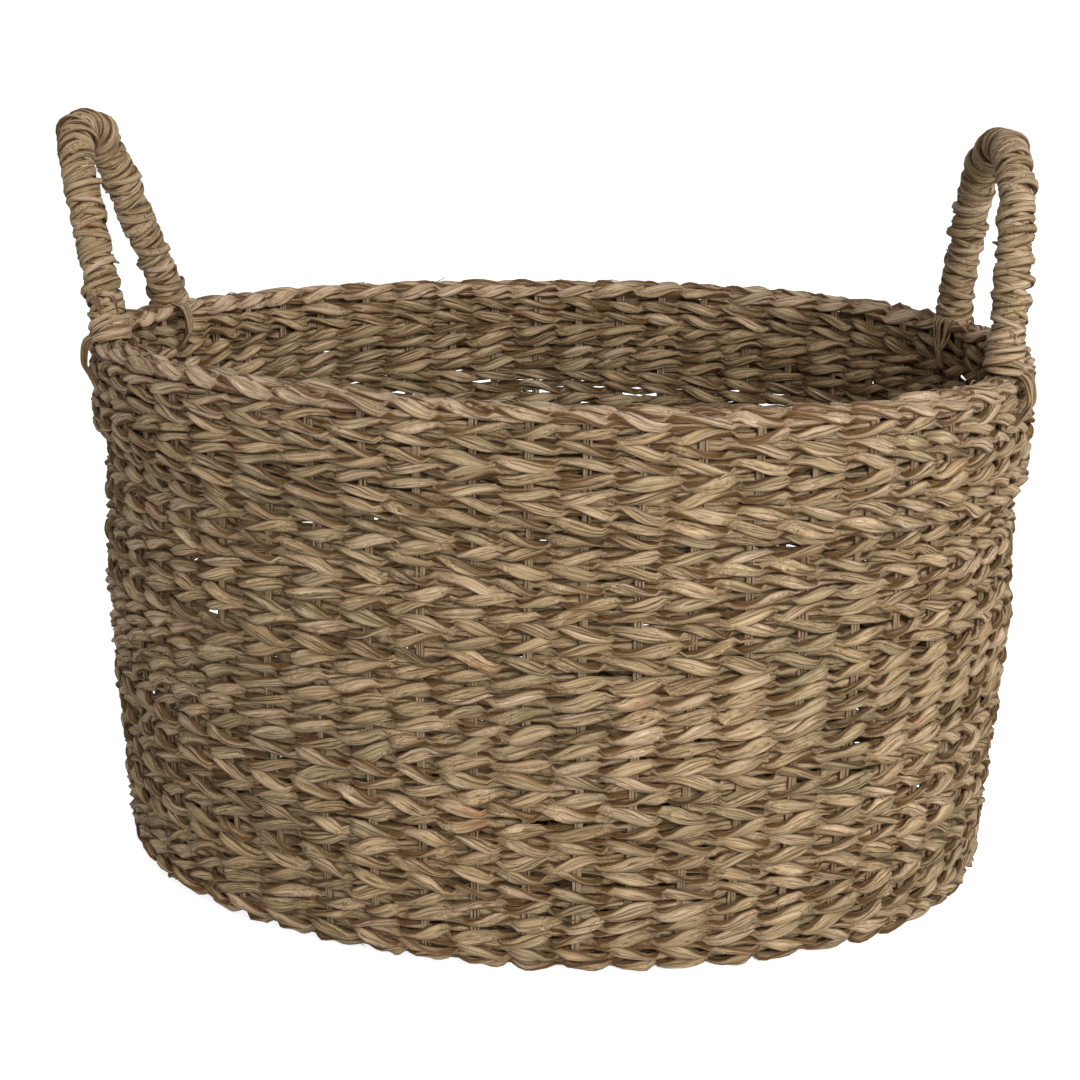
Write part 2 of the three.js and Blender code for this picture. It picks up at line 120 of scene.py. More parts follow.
# Chance of a wrapping strip; tones and kinds are a middle and how far they vary
WRAP_DRIFT = (-0.0009, 0.0009)
WRAP_SWELL = (-0.0006, 0.0004)
WRAP_STRAY = (-0.0013, 0.0013)
WRAP_STAND = (-0.0005, 0.001)
WRAP_LOOP = (0.0006, 0.002)
WRAP_ROLL = (-0.45, 0.45)
WRAP_WIDTHS = (0.62, 1.4)
WRAP_DEPTHS = (0.8, 1.35)
WRAP_RIDGE = 0.16
WRAP_TONE = (0.6, 0.42)
WRAP_KIND = (0.18, 0.35)
LASH_TONE = (0.6, 0.3)
STAKE_TONE = (0.68, 0.3)
# Grass finishes: brightness, contrast, fineness of lines along and around a strand
FINISHES = {
    "Seagrass Strand": (1.07, 1.0, 55.0, 2.6),
    "Seagrass Base": (0.9, 1.0, 55.0, 2.6),
    # Stake strips are darker partly in their own colour and partly as painted shade, since they
    # show only in the gaps between rows
    "Stake Strip": (0.75, 0.8, 70.0, 1.6),
    "Wrapping Strip": (0.92, 1.1, 60.0, 2.2),
}
# Floor and lamps of the stage
WHITE = (1, 1, 1, 1)
FLOOR_SIZE = 60
FLOOR_DROP = 0.0004
FLOOR_COLOUR = (0.86, 0.86, 0.86, 1)
FLOOR_GLOW = 0.82
KEY_PLACE, KEY_SIZE = (1.15, -1.95, 1.3), 2.0
FILL_PLACE, FILL_SIZE = (0.7, 1.9, 1.5), 1.8
LAMP_TARGET = (0, 0, 0.15)


# Sizes and colours that a user would change

def prop_maker(kind, **settings):
    def make(name, default, description):
        return kind(name=name, description=description, default=default, **settings)
    return make


length_prop = prop_maker(bpy.props.FloatProperty, unit="LENGTH")
angle_prop = prop_maker(bpy.props.FloatProperty, subtype="ANGLE")
power_prop = prop_maker(bpy.props.FloatProperty, unit="POWER")
number_prop = prop_maker(bpy.props.FloatProperty)
count_prop = prop_maker(bpy.props.IntProperty)
colour_prop = prop_maker(bpy.props.FloatVectorProperty, size=3, subtype="COLOR")


class BasketShape(bpy.types.PropertyGroup):
    corner_radius: length_prop("Foot corner", 0.014, "Radius of the round foot")
    belly_height: length_prop("Belly height", 0.13, "Height of the widest row")
    wall_thickness: length_prop("Wall thickness", 0.0065, "Thickness of the wall")
    collar_thickness: length_prop("Collar thickness", 0.0068, "Thickness of the collar")
    collar_gap: length_prop("Collar gap", 0.001, "Room between wall and collar")
    collar_slant: length_prop(
        "Collar slant", 0.007,
        "Rise of the collar's edge from the right end to the middle, and again to the left end")
    base_seam: length_prop("Base seam", 0.0003, "Room between base and wall")
    stake_spacing: length_prop("Stake spacing", 0.02, "Distance between cross stakes")
    cross_stakes: count_prop("Cross stakes", 13, "Stakes from front to back")
    long_stakes: count_prop("Long stakes", 14, "Stakes from end to end")
    long_spacing: length_prop("Long stake spacing", 0.011, "Distance between long stakes")
    fan_reach: length_prop("Fan", 0.108, "Where the long stakes start to fan out")
    long_level: length_prop("Long stake level", 0.0026, "Height of the long stakes in the base")
    cross_level: length_prop("Cross stake level", 0.0062, "Height of the cross stakes there")
    warp: number_prop(
        "Warp", 0.12,
        "Rise of two opposite corners of the rim, per square metre of length times depth")
    tip: number_prop("Tip", 0.003, "Drop of the rim from left to right, per metre")


class WeaveSizes(bpy.types.PropertyGroup):
    foot_pitch: length_prop("Row pitch at the foot", 0.0072, "Height of a row at the foot")
    belly_pitch: length_prop("Row pitch at the belly", 0.0074, "Height of a row at the belly")
    collar_pitch: length_prop("Row pitch at the collar", 0.0062, "Height of a row near the rim")
    collar_rows: count_prop("Collar rows", 7, "Rows in the collar")
    inner_row: length_prop(
        "Innermost row", 0.0006, "Half depth of the gap in the base's innermost row")
    wall_sway: length_prop(
        "Sway", 0.0018, "How far a strand passes from the middle line at a stake")
    base_sway: length_prop(
        "Sway in the base", 0.0027, "The same, round the base's crossed stakes")
    climb_share: number_prop(
        "Climb", 0.26, "Rise of a strand between stakes, as a share of the pitch")
    width_share: number_prop(
        "Strand width", 0.48, "Half width of a strand over a stake, as a share of the pitch")
    crossing_share: number_prop(
        "Width at a crossing", 0.31, "The same where two strands cross")
    blade_offset: number_prop(
        "Blade offset", 0.33,
        "Place of a strand's two blades beside its middle, as a share of its half width")
    blade_width: number_prop(
        "Blade width", 0.76, "Width of one blade as a share of the strand's")
    thickness: length_prop(
        "Strand thickness", 0.0012, "Half thickness of a strand over a stake")
    crossing_thickness: length_prop(
        "Thickness at a crossing", 0.0017, "The same where two strands cross")
    roll: angle_prop("Roll", 0.6, "How far a strand rolls over as it dives")
    wander: length_prop("Wander", 0.0009, "How far a row strays up and down")
    bulge: length_prop("Bulge", 0.0005, "How far a strand stands in or out by chance")
    ridge: number_prop(
        "Fibre ridges", 0.2, "Depth of the ridges between fibres, as a share")
    blade_share: number_prop(
        "Loose blades", 0.2, "Share of the grains with a blade worked loose")
    end_share: number_prop(
        "Strip ends", 0.05, "Share of the grains with an end that sticks out")
    steps: count_prop("Steps", 7, "Sections of a strand from stake to stake")
    sides: count_prop("Sides", 8, "Sides of a strand's blade")
    base_steps: count_prop("Steps in the base", 5, "Sections of a strand in the base")
    base_sides: count_prop("Sides in the base", 7, "Sides of a blade in the base")
    seed: count_prop("Seed", 5, "Chance of the weave")


class RimSizes(bpy.types.PropertyGroup):
    rows: count_prop("Rim rows", 3, "Twined rows over the folds of the stakes")
    spread: angle_prop(
        "Spread", math.radians(112), "Turn from the inmost rim row to the outmost")
    pitch: length_prop("Rim row pitch", 0.0066, "Width of a rim row")
    sway: length_prop(
        "Rim sway", 0.0011, "How far a strand passes from a rim row's middle line")
    dip: length_prop("Dip", 0.0065, "How deep the rim's rounding reaches down")
    strand_room: length_prop(
        "Strand room", 0.0026, "Depth of a rim row's middle line under its face")
    hairs: count_prop("Hairs", 30, "Fine bent blades that stand up from the rim")


class HandleSizes(bpy.types.PropertyGroup):
    left_lean: angle_prop(
        "Left lean", math.radians(15.5), "Outward lean of the left handle")
    right_lean: angle_prop(
        "Right lean", math.radians(3), "Outward lean of the right handle")
    right_rise: length_prop(
        "Right rise", 0.08, "Height of the right arch over its hinge line")
    left_rise: length_prop(
        "Left rise", 0.083, "Height of the left arch over its hinge line")
    right_taper: angle_prop(
        "Right taper", math.radians(12), "How far each leg of the right arch leans inwards")
    left_taper: angle_prop(
        "Left taper", math.radians(18), "How far each leg of the left arch leans inwards")
    core_radius: length_prop("Core", 0.0058, "Radius of the stem bundle")
    wrap_pitch: length_prop(
        "Wrap pitch", 0.0095, "Distance between turns of one wrapping strip")
    strips: count_prop("Strips", 4, "Strips wound side by side")
    crossing_strips: count_prop("Crossing strips", 2, "Strips wound the other way")
    steps: count_prop("Steps", 20, "Sections of a turn")
    sides: count_prop("Sides", 10, "Sides of a strip")
    flare: length_prop("Flare", 0.0012, "How far the wrapping spreads at a foot")
    strip_half_width: length_prop("Strip width", 0.0017, "Half width of a wrapping strip")
    strip_half_thickness: length_prop(
        "Strip thickness", 0.00075, "Half thickness of a wrapping strip")
    loop_share: number_prop(
        "Loops", 0.13, "Share of the half turns that stand off as a small loop")
    ends: count_prop("Strip ends", 14, "Strip ends that stick out of a handle")
    lash_strips: count_prop("Lash strips", 8, "Strips side by side in a lash")


class FibreColours(bpy.types.PropertyGroup):
    straw: colour_prop("Straw", (0.645, 0.465, 0.27), "Main colour")
    olive: colour_prop("Olive", (0.52, 0.4, 0.235), "Greyed green strands")
    rose: colour_prop("Rose", (0.68, 0.485, 0.33), "Pinkish strands")
    rust: colour_prop("Rust", (0.46, 0.225, 0.095), "Orange brown strands")
    # Shade is the tint of painted shade, multiplied into the strands' edges and the creases at
    # their crossings
    shade: colour_prop("Shade", (0.26, 0.175, 0.08), "Tint of the unbleached creases")


class StageSetup(bpy.types.PropertyGroup):
    photo_focal: number_prop("Focal length", 2010.0, "Focal length in pixels of the photo")
    photo_width: count_prop("Photo width", 1080, "Width of the photo in pixels")
    distance: length_prop("Distance", 0.885, "Level distance from the basket's middle")
    height: length_prop("Height", 0.425, "Height of the camera")
    yaw: angle_prop("Yaw", 0.075, "How far round the camera stands")
    pan: angle_prop("Pan", 0.008, "Turn of the view past the middle")
    pitch: angle_prop("Pitch", 0.3, "How far the view looks down")
    roll: angle_prop("Roll", 0.0145, "Tilt of the view")
    sky: number_prop("Sky", 0.24, "Strength of the even light")
    key: power_prop("Key", 50.0, "Strength of the main lamp")
    fill: power_prop("Fill", 9.0, "Strength of the weaker lamp")


# Tubes gathered into one mesh, with a map along each tube, its colour's tones and its painted
# shade

class Fibres:
    """Tubes with quad sides and flat ends, kept as arrays until they are built as a mesh."""

    def __init__(self, settle=None):
        self.settle = settle
        self.points = []
        self.looks = {"tone": [], "kind": [], "crease": []}
        self.corners = []
        self.maps = []
        self.starts = []
        self.point_count = 0
        self.corner_count = 0

    def keep_faces(self, corners, maps):
        faces, size = corners.shape
        self.corners.append(corners.ravel() + self.point_count)
        self.maps.append(maps.reshape(-1, 2))
        self.starts.append(self.corner_count + np.arange(faces) * size)
        self.corner_count += faces * size

    def add(self, path, across, out, half_width, half_thickness, look, ridges, closed=False):
        """A tube along path; across and out are the directions of its width and thickness.

        look is tone, kind and the painted shade of each ring, deeper the further it lies in a
        crease.
        """
        rings, sides = ridges.shape
        turn = 2 * np.pi * np.arange(sides) / sides + np.zeros((rings, 1))
        wide = half_width[:, None] * np.cos(turn) * ridges
        boxed = np.sin(turn) * (1 + BOXED * np.cos(turn) ** 2)
        thick = half_thickness[:, None] * boxed * ridges
        points = (path[:, None] + across[:, None] * wide[..., None]
                  + out[:, None] * thick[..., None])
        following = np.roll(path, -1, axis=0)
        along = lengths_along(np.concatenate([path, path[:1]]))
        spans = rings if closed else rings - 1
        ring = np.arange(spans)[:, None] + np.zeros(sides, int)
        side = np.arange(sides)[None] + np.zeros((spans, 1), int)
        next_ring = (ring + 1) % rings
        next_side = (side + 1) % sides
        corners = stacked(ring * sides + side, ring * sides + next_side,
                          next_ring * sides + next_side, next_ring * sides + side)
        length_map = stacked(along[ring], along[ring], along[ring + 1], along[ring + 1])
        round_map = stacked(side, side + 1, side + 1, side) / sides
        maps = stacked(length_map, round_map)
        handed = np.dot(np.cross(across[0], out[0]), following[0] - path[0]) > 0
        if not handed:
            corners = corners[..., ::-1]
            maps = maps[..., ::-1, :]
        self.keep_faces(corners.reshape(-1, 4), maps.reshape(-1, 4, 2))
        if not closed:
            ends = [np.arange(sides)[::-1], (rings - 1) * sides + np.arange(sides)]
            for rank, end in enumerate(ends):
                if not handed:
                    end = end[::-1]
                end_map = stacked(np.full(sides, along[-2] * rank), np.linspace(0, 1, sides))
                self.keep_faces(end[None], end_map[None])
        self.points.append(points.reshape(-1, 3))
        for kept, part in zip(self.looks.values(), look):
            kept.append(np.repeat(np.zeros(rings) + part, sides))
        self.point_count += rings * sides

    def build(self, name, material):
        points = np.concatenate(self.points)
        if self.settle:
            points = self.settle(points)
        mesh = bpy.data.meshes.new(name)
        mesh.vertices.add(self.point_count)
        mesh.vertices.foreach_set("co", points.astype(np.float32).ravel())
        mesh.loops.add(self.corner_count)
        mesh.loops.foreach_set("vertex_index", np.concatenate(self.corners).astype(np.int32))
        starts = np.concatenate(self.starts).astype(np.int32)
        mesh.polygons.add(len(starts))
        mesh.polygons.foreach_set("loop_start", starts)
        mesh.polygons.foreach_set("use_smooth", np.ones(len(starts), bool))
        strand_map = mesh.uv_layers.new(name="Strand")
        strand_map.uv.foreach_set("vector", np.concatenate(self.maps).astype(np.float32).ravel())
        for attribute, values in self.looks.items():
            layer = mesh.attributes.new(attribute, "FLOAT", "POINT")
            values = np.clip(np.concatenate(values), 0, 1)
            layer.data.foreach_set("value", values.astype(np.float32))
        mesh.update(calc_edges=True)
        mesh.validate()
        mesh.materials.append(material)
        piece = bpy.data.objects.new(name, mesh)
        bpy.context.scene.collection.objects.link(piece)
        return piece


def stacked(*parts):
    return np.stack(parts, axis=-1)


def lengths_along(points):
    """The length from the first point to each one."""
    steps = np.linalg.norm(np.diff(points, axis=0), axis=1)
    return np.concatenate([[0.0], np.cumsum(steps)])


def unit(vectors):
    return vectors / np.linalg.norm(vectors, axis=-1, keepdims=True)


def drawn(chance, ranges):
    return [chance.uniform(*part) for part in ranges]


def held_between(values, place, sharp=1.0):
    """Values that belong to whole places, blended in between; sharp keeps each one longer."""
    low = np.floor(place).astype(int)
    share = np.clip((place - low - 0.5) * sharp + 0.5, 0, 1)
    share = share * share * (3 - 2 * share)
    first = values[low % len(values)]
    second = values[(low + 1) % len(values)]
    if values.ndim == 2:
        share = share[:, None]
    return first + (second - first) * share


def slow_wave(chance, count, place, waves):
    """A smooth closed wave between -1 and 1 that goes up and down a few times round the row."""
    total = np.zeros(len(place))
    for wave in waves:
        total += np.sin(2 * np.pi * (wave * place / count + chance.random())) / len(waves)
    return total


def framed(path, out_hint):
    """Width and thickness directions square to a path."""
    ahead = unit(np.gradient(path, axis=0))
    across = unit(np.cross(out_hint, ahead))
    return across, np.cross(ahead, across)


# The oval and the middle line of the weave, from the base out and up to the rim

def oval_point(reach, angle, height):
    depth = reach - OVAL_GAP
    return stacked(reach * np.cos(angle), depth * np.sin(angle), height + np.zeros_like(angle))


def oval_out(angle):
    return stacked(np.cos(angle), np.sin(angle), np.zeros_like(angle))


def oval_along(reach, angle):
    depth = reach - OVAL_GAP
    return unit(stacked(-reach * np.sin(angle), depth * np.cos(angle), np.zeros_like(angle)))


def plate_reach(shape):
    return BASE_TOP.x + shape.base_seam


def wall_top_reach(shape):
    return RIM_TOP.x - shape.collar_thickness - shape.collar_gap - shape.wall_thickness / 2


def collar_reach(shape):
    return RIM_TOP.x - shape.collar_thickness / 2


def collar_floor_at(shape, angle):
    return COLLAR_FLOOR + shape.collar_slant * (1 - np.cos(angle))


def rim_lift(shape, x, y):
    """How far the used basket's rim has risen or sunk at a place."""
    return shape.warp * x * y - shape.tip * x


def settled_by(shape):
    """The sag of the used basket: the rim's corners rise and drop, the base lies flat."""
    def settle(points):
        share = np.clip(points[:, 2] / RIM_TOP.z, 0, 1) ** 2
        lift = rim_lift(shape, points[:, 0], points[:, 1])
        moved = points.copy()
        moved[:, 2] = np.maximum(points[:, 2] + share * lift, LEAST_HEIGHT)
        return moved
    return settle


def middle_line(shape, weave):
    """Points (reach, height) of the weave's middle, and the length from the first to each."""
    plate = plate_reach(shape)
    level = BASE_TOP.z / 2
    points = [(OVAL_GAP + weave.inner_row, level)]
    for turn in np.radians(np.arange(0, 91, BASE_BEND_STEP)):
        share = 2 * turn / math.pi
        radius = (shape.corner_radius - level) * (1 - share)
        radius += (shape.corner_radius - shape.wall_thickness / 2) * share
        points.append((plate + radius * math.sin(turn),
                       shape.corner_radius - radius * math.cos(turn)))
    points.append((WALL_TOP.x - shape.wall_thickness / 2, shape.belly_height))
    points.append((wall_top_reach(shape), RIM_FLOOR + weave.collar_pitch / 2))
    points = np.array(points)
    return points, lengths_along(points)


def spoke_angles(shape, reach):
    """Where the stakes cross an oval, as angles from the right end round to it again."""
    plate = plate_reach(shape)
    reach = min(reach, plate)
    count = shape.cross_stakes
    sides = (np.arange(count) - (count - 1) / 2) * shape.stake_spacing
    sides = sides[np.abs(sides) < CROSSING_REACH * reach]
    last = math.acos(sides[-1] / reach)
    whole_last = math.acos((count - 1) / 2 * shape.stake_spacing / plate)
    whole_arc = whole_last * (2 * plate - OVAL_GAP)
    gaps = max(2, round((shape.long_stakes + 1) * last * (2 * reach - OVAL_GAP) / whole_arc))
    ends = last * (2 * np.arange(1, gaps) / gaps - 1)
    back = np.arccos(sides[::-1] / reach)
    return np.concatenate([ends[ends >= 0], back, math.pi + ends, 2 * math.pi - back[::-1],
                           2 * math.pi + ends[ends < 0]])


def row_places(shape, weave, points, lengths, first, last):
    """Lengths along the middle line at which rows lie, from one length to another."""
    places = []
    place = first
    while place < last:
        height = np.interp(place, lengths, points[:, 1])
        pitch = np.interp(height, [0, shape.belly_height, COLLAR_FLOOR * NARROW_FROM],
                          [weave.foot_pitch, weave.belly_pitch, weave.collar_pitch])
        places.append((place + pitch / 2, pitch))
        place += pitch
    return places


def base_places(shape, weave, points, lengths):
    return row_places(shape, weave, points, lengths, 0.0, lengths[1] - weave.foot_pitch / 2)


# One twined row: two strands that change places between the stakes

def twined_row(fibres, weave, chance, spokes, lay, rise, face, sway, slant, fine=True,
               painted_light=0.0):
    """lay gives reach, height and pitch for the angles round the row.

    rise and face are (outward, upward) parts of the row's upward and outer directions.
    """
    count = len(spokes)
    steps = weave.steps if fine else weave.base_steps
    sides = weave.sides if fine else weave.base_sides
    place = np.arange(count * steps) / steps
    angle = np.interp(place, np.arange(count + 1), np.append(spokes, spokes[0] + 2 * math.pi))
    reach, height, pitch = lay(angle)
    pitch = pitch + np.zeros(len(place))

    def varied(low, high, sharp=1.0):
        return held_between(chance.uniform(low, high, count), place, sharp)

    wander = weave.wander * slow_wave(chance, count, place, (2, 3, 5, 9))
    wander += weave.wander * 0.8 * varied(-1, 1)
    stray = weave.bulge * slow_wave(chance, count, place, (1, 2, 4))
    crossing = varied(-CROSSING_SHIFT, CROSSING_SHIFT)
    crossing = crossing + chance.uniform(-ROW_SHIFT, ROW_SHIFT)
    radial = oval_out(angle)
    outer = radial * face[0] + UP * face[1]
    upper = radial * rise[0] + UP * rise[1]
    # Rim and collar rows get painted light, a paler tone on the basket's top
    row_tone = chance.uniform(-ROW_TONE, ROW_TONE) + painted_light
    bumps = np.where(np.arange(sides) % 2, 1.0, -1.0)
    grains = np.arange(count)
    for strand in (0, 1):
        phase = np.pi * (place + crossing + strand)
        over = np.cos(phase)
        turned = np.abs(np.sin(phase)) ** 2
        size = varied(*GRAIN_SIZES)
        stand = varied(-1, 1) * weave.bulge
        climb = weave.climb_share * pitch * varied(*GRAIN_CLIMBS)
        flattened = over * (1 + GRAIN_FLATNESS - GRAIN_FLATNESS * over ** 2)
        outward = (sway + stand) * flattened + stray
        upward = slant * climb * np.sin(phase) + wander
        path = oval_point(reach + outward * face[0] + upward * rise[0], angle,
                          height + outward * face[1] + upward * rise[1])
        roll = (slant * weave.roll * np.sin(phase) * np.sign(over))[:, None]
        out = np.cos(roll) * outer + np.sin(roll) * upper
        across = np.cos(roll) * upper - np.sin(roll) * outer
        share = weave.width_share + (weave.crossing_share - weave.width_share) * turned
        half_width = share * pitch * size
        half_thickness = weave.thickness + (weave.crossing_thickness - weave.thickness) * turned
        thick = half_thickness * BLADE_THICKNESS
        slow = slow_wave(chance, count, place, (1, 3, 4, 7))
        tilt = varied(-BLADE_TILT, BLADE_TILT)[:, None]
        for blade in (-1, 1):
            aside = across * half_width[:, None] * np.cos(tilt)
            aside += out * half_thickness[:, None] * np.sin(tilt) * BLADE_STAND
            line = path + aside * (blade * weave.blade_offset)
            leaning = 0.5 * tilt + 0.5 * varied(-1, 1)[:, None]
            face_out = out * np.cos(leaning) - across * np.sin(leaning)
            face_across = across * np.cos(leaning) + out * np.sin(leaning)
            wide = half_width * weave.blade_width * varied(*BLADE_WIDTHS)
            lines = chance.uniform(0.1, 1, (count, sides)) * bumps
            ridges = 1 + weave.ridge * held_between(lines, place, 1.6)
            tone = TONE[0] + row_tone + TONE[1] * slow
            tone += TONE[2] * varied(-1, 1, GRAIN_EDGE)
            kind = KIND[0] + KIND[1] * slow_wave(chance, count, place, (1, 2, 5))
            kind += KIND[2] * varied(-1, 1, GRAIN_EDGE)
            # The third look is painted shade, deepest where the strand dives at a crossing
            look = np.stack([tone, kind, CROSSING_PAINTED_SHADE * turned ** 4])
            fibres.add(line, face_across, face_out, wide, thick, look, ridges, closed=True)
            for grain in grains[chance.random(count) < weave.blade_share]:
                rings = (grain * steps + np.arange(-(steps // 2), steps // 2 + 2)) % len(place)
                facing = 1 if over[grain * steps] > 0 else -1
                loose_blade(fibres, chance, rings, facing, line, face_across, face_out, wide,
                            thick, look)
        for grain in grains[chance.random(count) < weave.end_share]:
            ring = (grain * steps + steps // 2) % len(place)
            facing = 1 if over[grain * steps] > 0 else -1
            ahead = unit(path[(ring + 1) % len(path)] - path[ring])
            ahead = ahead * chance.choice([-1, 1]) + upper[ring] * chance.uniform(-0.5, 0.5)
            root = path[ring] + outer[ring] * facing * half_thickness[ring] * 0.6
            strip_end(fibres, chance, root, unit(ahead), outer[ring] * facing,
                      *drawn(chance, ROW_END), look[0, ring] + 0.2, look[1, ring])


def loose_blade(fibres, chance, rings, facing, path, across, out, half_width, half_thickness,
                look):
    """A thin blade of grass on the face of one grain, with its edges standing free."""
    count = len(rings)
    sunk, end_width, thin = 0.97, 0.06, 0.0003
    share = np.linspace(0, 1, count)
    start, end = chance.uniform(-0.8, 0.8, 2)
    around = facing * (np.pi / 2 + start + (end - start) * share)
    lift = chance.uniform(0.0, 0.0004) * np.sin(np.pi * share)
    wide = (half_width[rings] * sunk + lift)[:, None]
    thick = (half_thickness[rings] * sunk + lift)[:, None]
    cosine, sine = np.cos(around)[:, None], np.sin(around)[:, None]
    line = path[rings] + across[rings] * wide * cosine + out[rings] * thick * sine
    normal = unit(across[rings] * cosine * thick + out[rings] * sine * wide)
    blade_across, blade_out = framed(line, normal)
    taper = np.sqrt(np.sin(np.pi * (end_width + (1 - 2 * end_width) * share)))
    width = chance.uniform(0.0006, 0.0012) * taper
    shade = [look[0, rings] + chance.uniform(-0.1, 0.35), look[1, rings], 0.0]
    fibres.add(line, blade_across, blade_out, width, thin * taper, shade, np.ones((count, 5)))


def strip_end(fibres, chance, root, along, out, length, half_width, curl, tone, kind):
    """A short strip that leaves the weave at root and ends in a point."""
    count = 6
    share = np.linspace(0, 1, count)
    side = unit(np.cross(along, out))
    bend = chance.uniform(-0.35, 0.35) * length
    path = (root + along * (share * length)[:, None] + out * (curl * share ** 2)[:, None]
            + side * (bend * share ** 2)[:, None])
    across, facing = framed(path, np.tile(out, (count, 1)))
    taper = np.sqrt(np.clip(1 - share ** 2, 0, 1)) * 0.9 + 0.1
    fibres.add(path, across, facing, half_width * taper, half_width * 0.3 * taper,
               (tone, kind, 0.0), np.ones((count, 5)))


def row_slant(chance):
    """Which way a row's strands climb: a little more often one way than the other."""
    return 1 if chance.random() < 0.55 else -1


def weave_rows(fibres, shape, weave, chance, points, lengths, rows, fine=True):
    """Rows of the base or the wall, each square to the weave's middle line."""
    corner_start = lengths[1]
    corner_end = lengths[-3]
    for place, pitch in rows:
        reach = np.interp(place, lengths, points[:, 0])
        height = np.interp(place, lengths, points[:, 1])
        span = min(np.searchsorted(lengths, place), len(lengths) - 1)
        rise = unit(points[span] - points[span - 1])
        sway = np.interp(place, [corner_start, corner_end], [weave.base_sway, weave.wall_sway])

        def lay(angle):
            return reach, height, pitch

        twined_row(fibres, weave, chance, spoke_angles(shape, reach), lay, rise,
                   (rise[1], -rise[0]), sway, row_slant(chance), fine)


def finish_piece(fibres, name, material, body, node):
    piece = fibres.build(name, bpy.data.materials[material])
    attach(piece, body)
    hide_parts(node)


# Stakes: each one three split strips side by side

def bundle(fibres, chance, path, side, face):
    """Three strips side by side along one path."""
    strips, sides = 3, 5
    spread, thin = 0.0012, 0.0008
    count = len(path)
    place = np.arange(count) / 4

    def varied(low, high):
        return held_between(chance.uniform(low, high, count), place)

    for rank in range(strips):
        offset = (rank - (strips - 1) / 2) * spread + varied(-1, 1) * spread * 0.25
        lifted = varied(-1, 1) * thin * 0.5
        line = path + side * offset[:, None] + face * lifted[:, None]
        across, out = framed(line, face)
        widths = thin * varied(0.8, 1.15)
        thick = thin * varied(0.85, 1.2)
        tone = STAKE_TONE[0] + STAKE_TONE[1] * varied(-1, 1)
        kind = chance.uniform(0.1, 0.5)
        ridges = 1 + 0.08 * held_between(chance.uniform(-1, 1, (count, sides)), place)
        fibres.add(line, across, out, widths, thick, (tone, kind, 0.0), ridges)


def stake_end(shape, weave, angle, level):
    """Points, side and face directions of a stake from the base's edge to the collar's."""
    plate = plate_reach(shape)
    outline = []
    for turn in np.radians(np.arange(0, 91, STAKE_BEND_STEP)):
        drop = (shape.corner_radius - level) * math.cos(turn)
        reach = (shape.corner_radius - shape.wall_thickness / 2) * math.sin(turn)
        outline.append((plate + reach, shape.corner_radius - drop))
    outline.append((WALL_TOP.x - shape.wall_thickness / 2, shape.belly_height))
    fold = (collar_reach(shape) - wall_top_reach(shape)) / 2
    fold_height = RIM_FLOOR + 0.6 * weave.collar_pitch
    for turn in np.radians(np.arange(0, 181, 30)):
        outline.append((wall_top_reach(shape) + fold * (1 - math.cos(turn)),
                        fold_height + fold * math.sin(turn)))
    outline.append((collar_reach(shape), collar_floor_at(shape, angle) + 0.0005))
    outline = np.array(outline)
    lengths = lengths_along(outline)
    steps = np.unique(np.concatenate([lengths, np.arange(0, lengths[-1], STAKE_STEP)]))
    reach = np.interp(steps, lengths, outline[:, 0])
    height = np.interp(steps, lengths, outline[:, 1])
    angles = np.full(len(steps), angle)
    points = oval_point(reach, angles, height)
    side = oval_along(plate, angles)
    ahead = unit(np.gradient(stacked(reach, height), axis=0))
    face = oval_out(angles) * ahead[:, 1:2] - UP * ahead[:, 0:1]
    return points, side, face


def stake_path(shape, weave, first_angle, second_angle, level, middle):
    """A whole stake, from one end of its line over the base to the other."""
    first, first_side, first_face = stake_end(shape, weave, first_angle, level)
    second, second_side, second_face = stake_end(shape, weave, second_angle, level)
    corners = np.array([first[0], *middle, second[0]])
    lengths = lengths_along(corners)
    steps = np.arange(STAKE_STEP, lengths[-1] - STAKE_STEP / 2, STAKE_STEP)
    between = stacked(*(np.interp(steps, lengths, axis) for axis in corners.T))
    turned = -second_side
    share = (steps / lengths[-1])[:, None]
    between_side = unit(first_side[0] * (1 - share) + turned[0] * share)
    between_face = np.tile(-UP, (len(steps), 1))
    points = np.concatenate([first[::-1], between, second])
    side = np.concatenate([first_side[::-1], between_side, turned])
    face = np.concatenate([first_face[::-1], between_face, second_face])
    return points, side, face


# Rim: twined rows side by side over the folded stakes

def rim_row(fibres, shape, weave, rim, chance, spokes, turn):
    """turn is 0 on top of the fold and a right angle on its outer side."""
    middle, inner = rim_middle(shape)
    flat = (RIM_TOP.x - inner) / 2 - rim.strand_room
    tall = rim.dip - rim.strand_room

    def lay(angle):
        return (middle + flat * math.sin(turn),
                RIM_TOP.z - rim.dip + tall * math.cos(turn), rim.pitch)

    twined_row(fibres, weave, chance, spokes, lay, (-math.cos(turn), math.sin(turn)),
               (math.sin(turn), math.cos(turn)), rim.sway, row_slant(chance),
               painted_light=RIM_PAINTED_LIGHT)


def rim_hair(fibres, shape, chance):
    """A fine blade that leaves the top of the rim and bends back to it."""
    angle = chance.uniform(0, 2 * math.pi)
    count = 9
    share = np.linspace(0, 1, count)
    shift, length, rise = drawn(chance, HAIR)
    reach = (wall_top_reach(shape) + collar_reach(shape)) / 2 + shift
    mean_reach, sunk = 0.18, 0.0016
    angles = np.full(count, angle) + length / mean_reach * share * chance.choice([-1, 1])
    height = RIM_TOP.z - sunk + rise * np.sin(np.pi * share ** chance.uniform(0.7, 1.3))
    path = oval_point(reach + chance.uniform(-0.003, 0.003) * share, angles, height)
    across, out = framed(path, np.tile(UP, (count, 1)))
    width = chance.uniform(0.0003, 0.0006) * (0.35 + 0.65 * np.sin(np.pi * share))
    fibres.add(path, across, out, width, width * 0.6, (0.85, 0.2, 0.0), np.ones((count, 4)))


# Handles

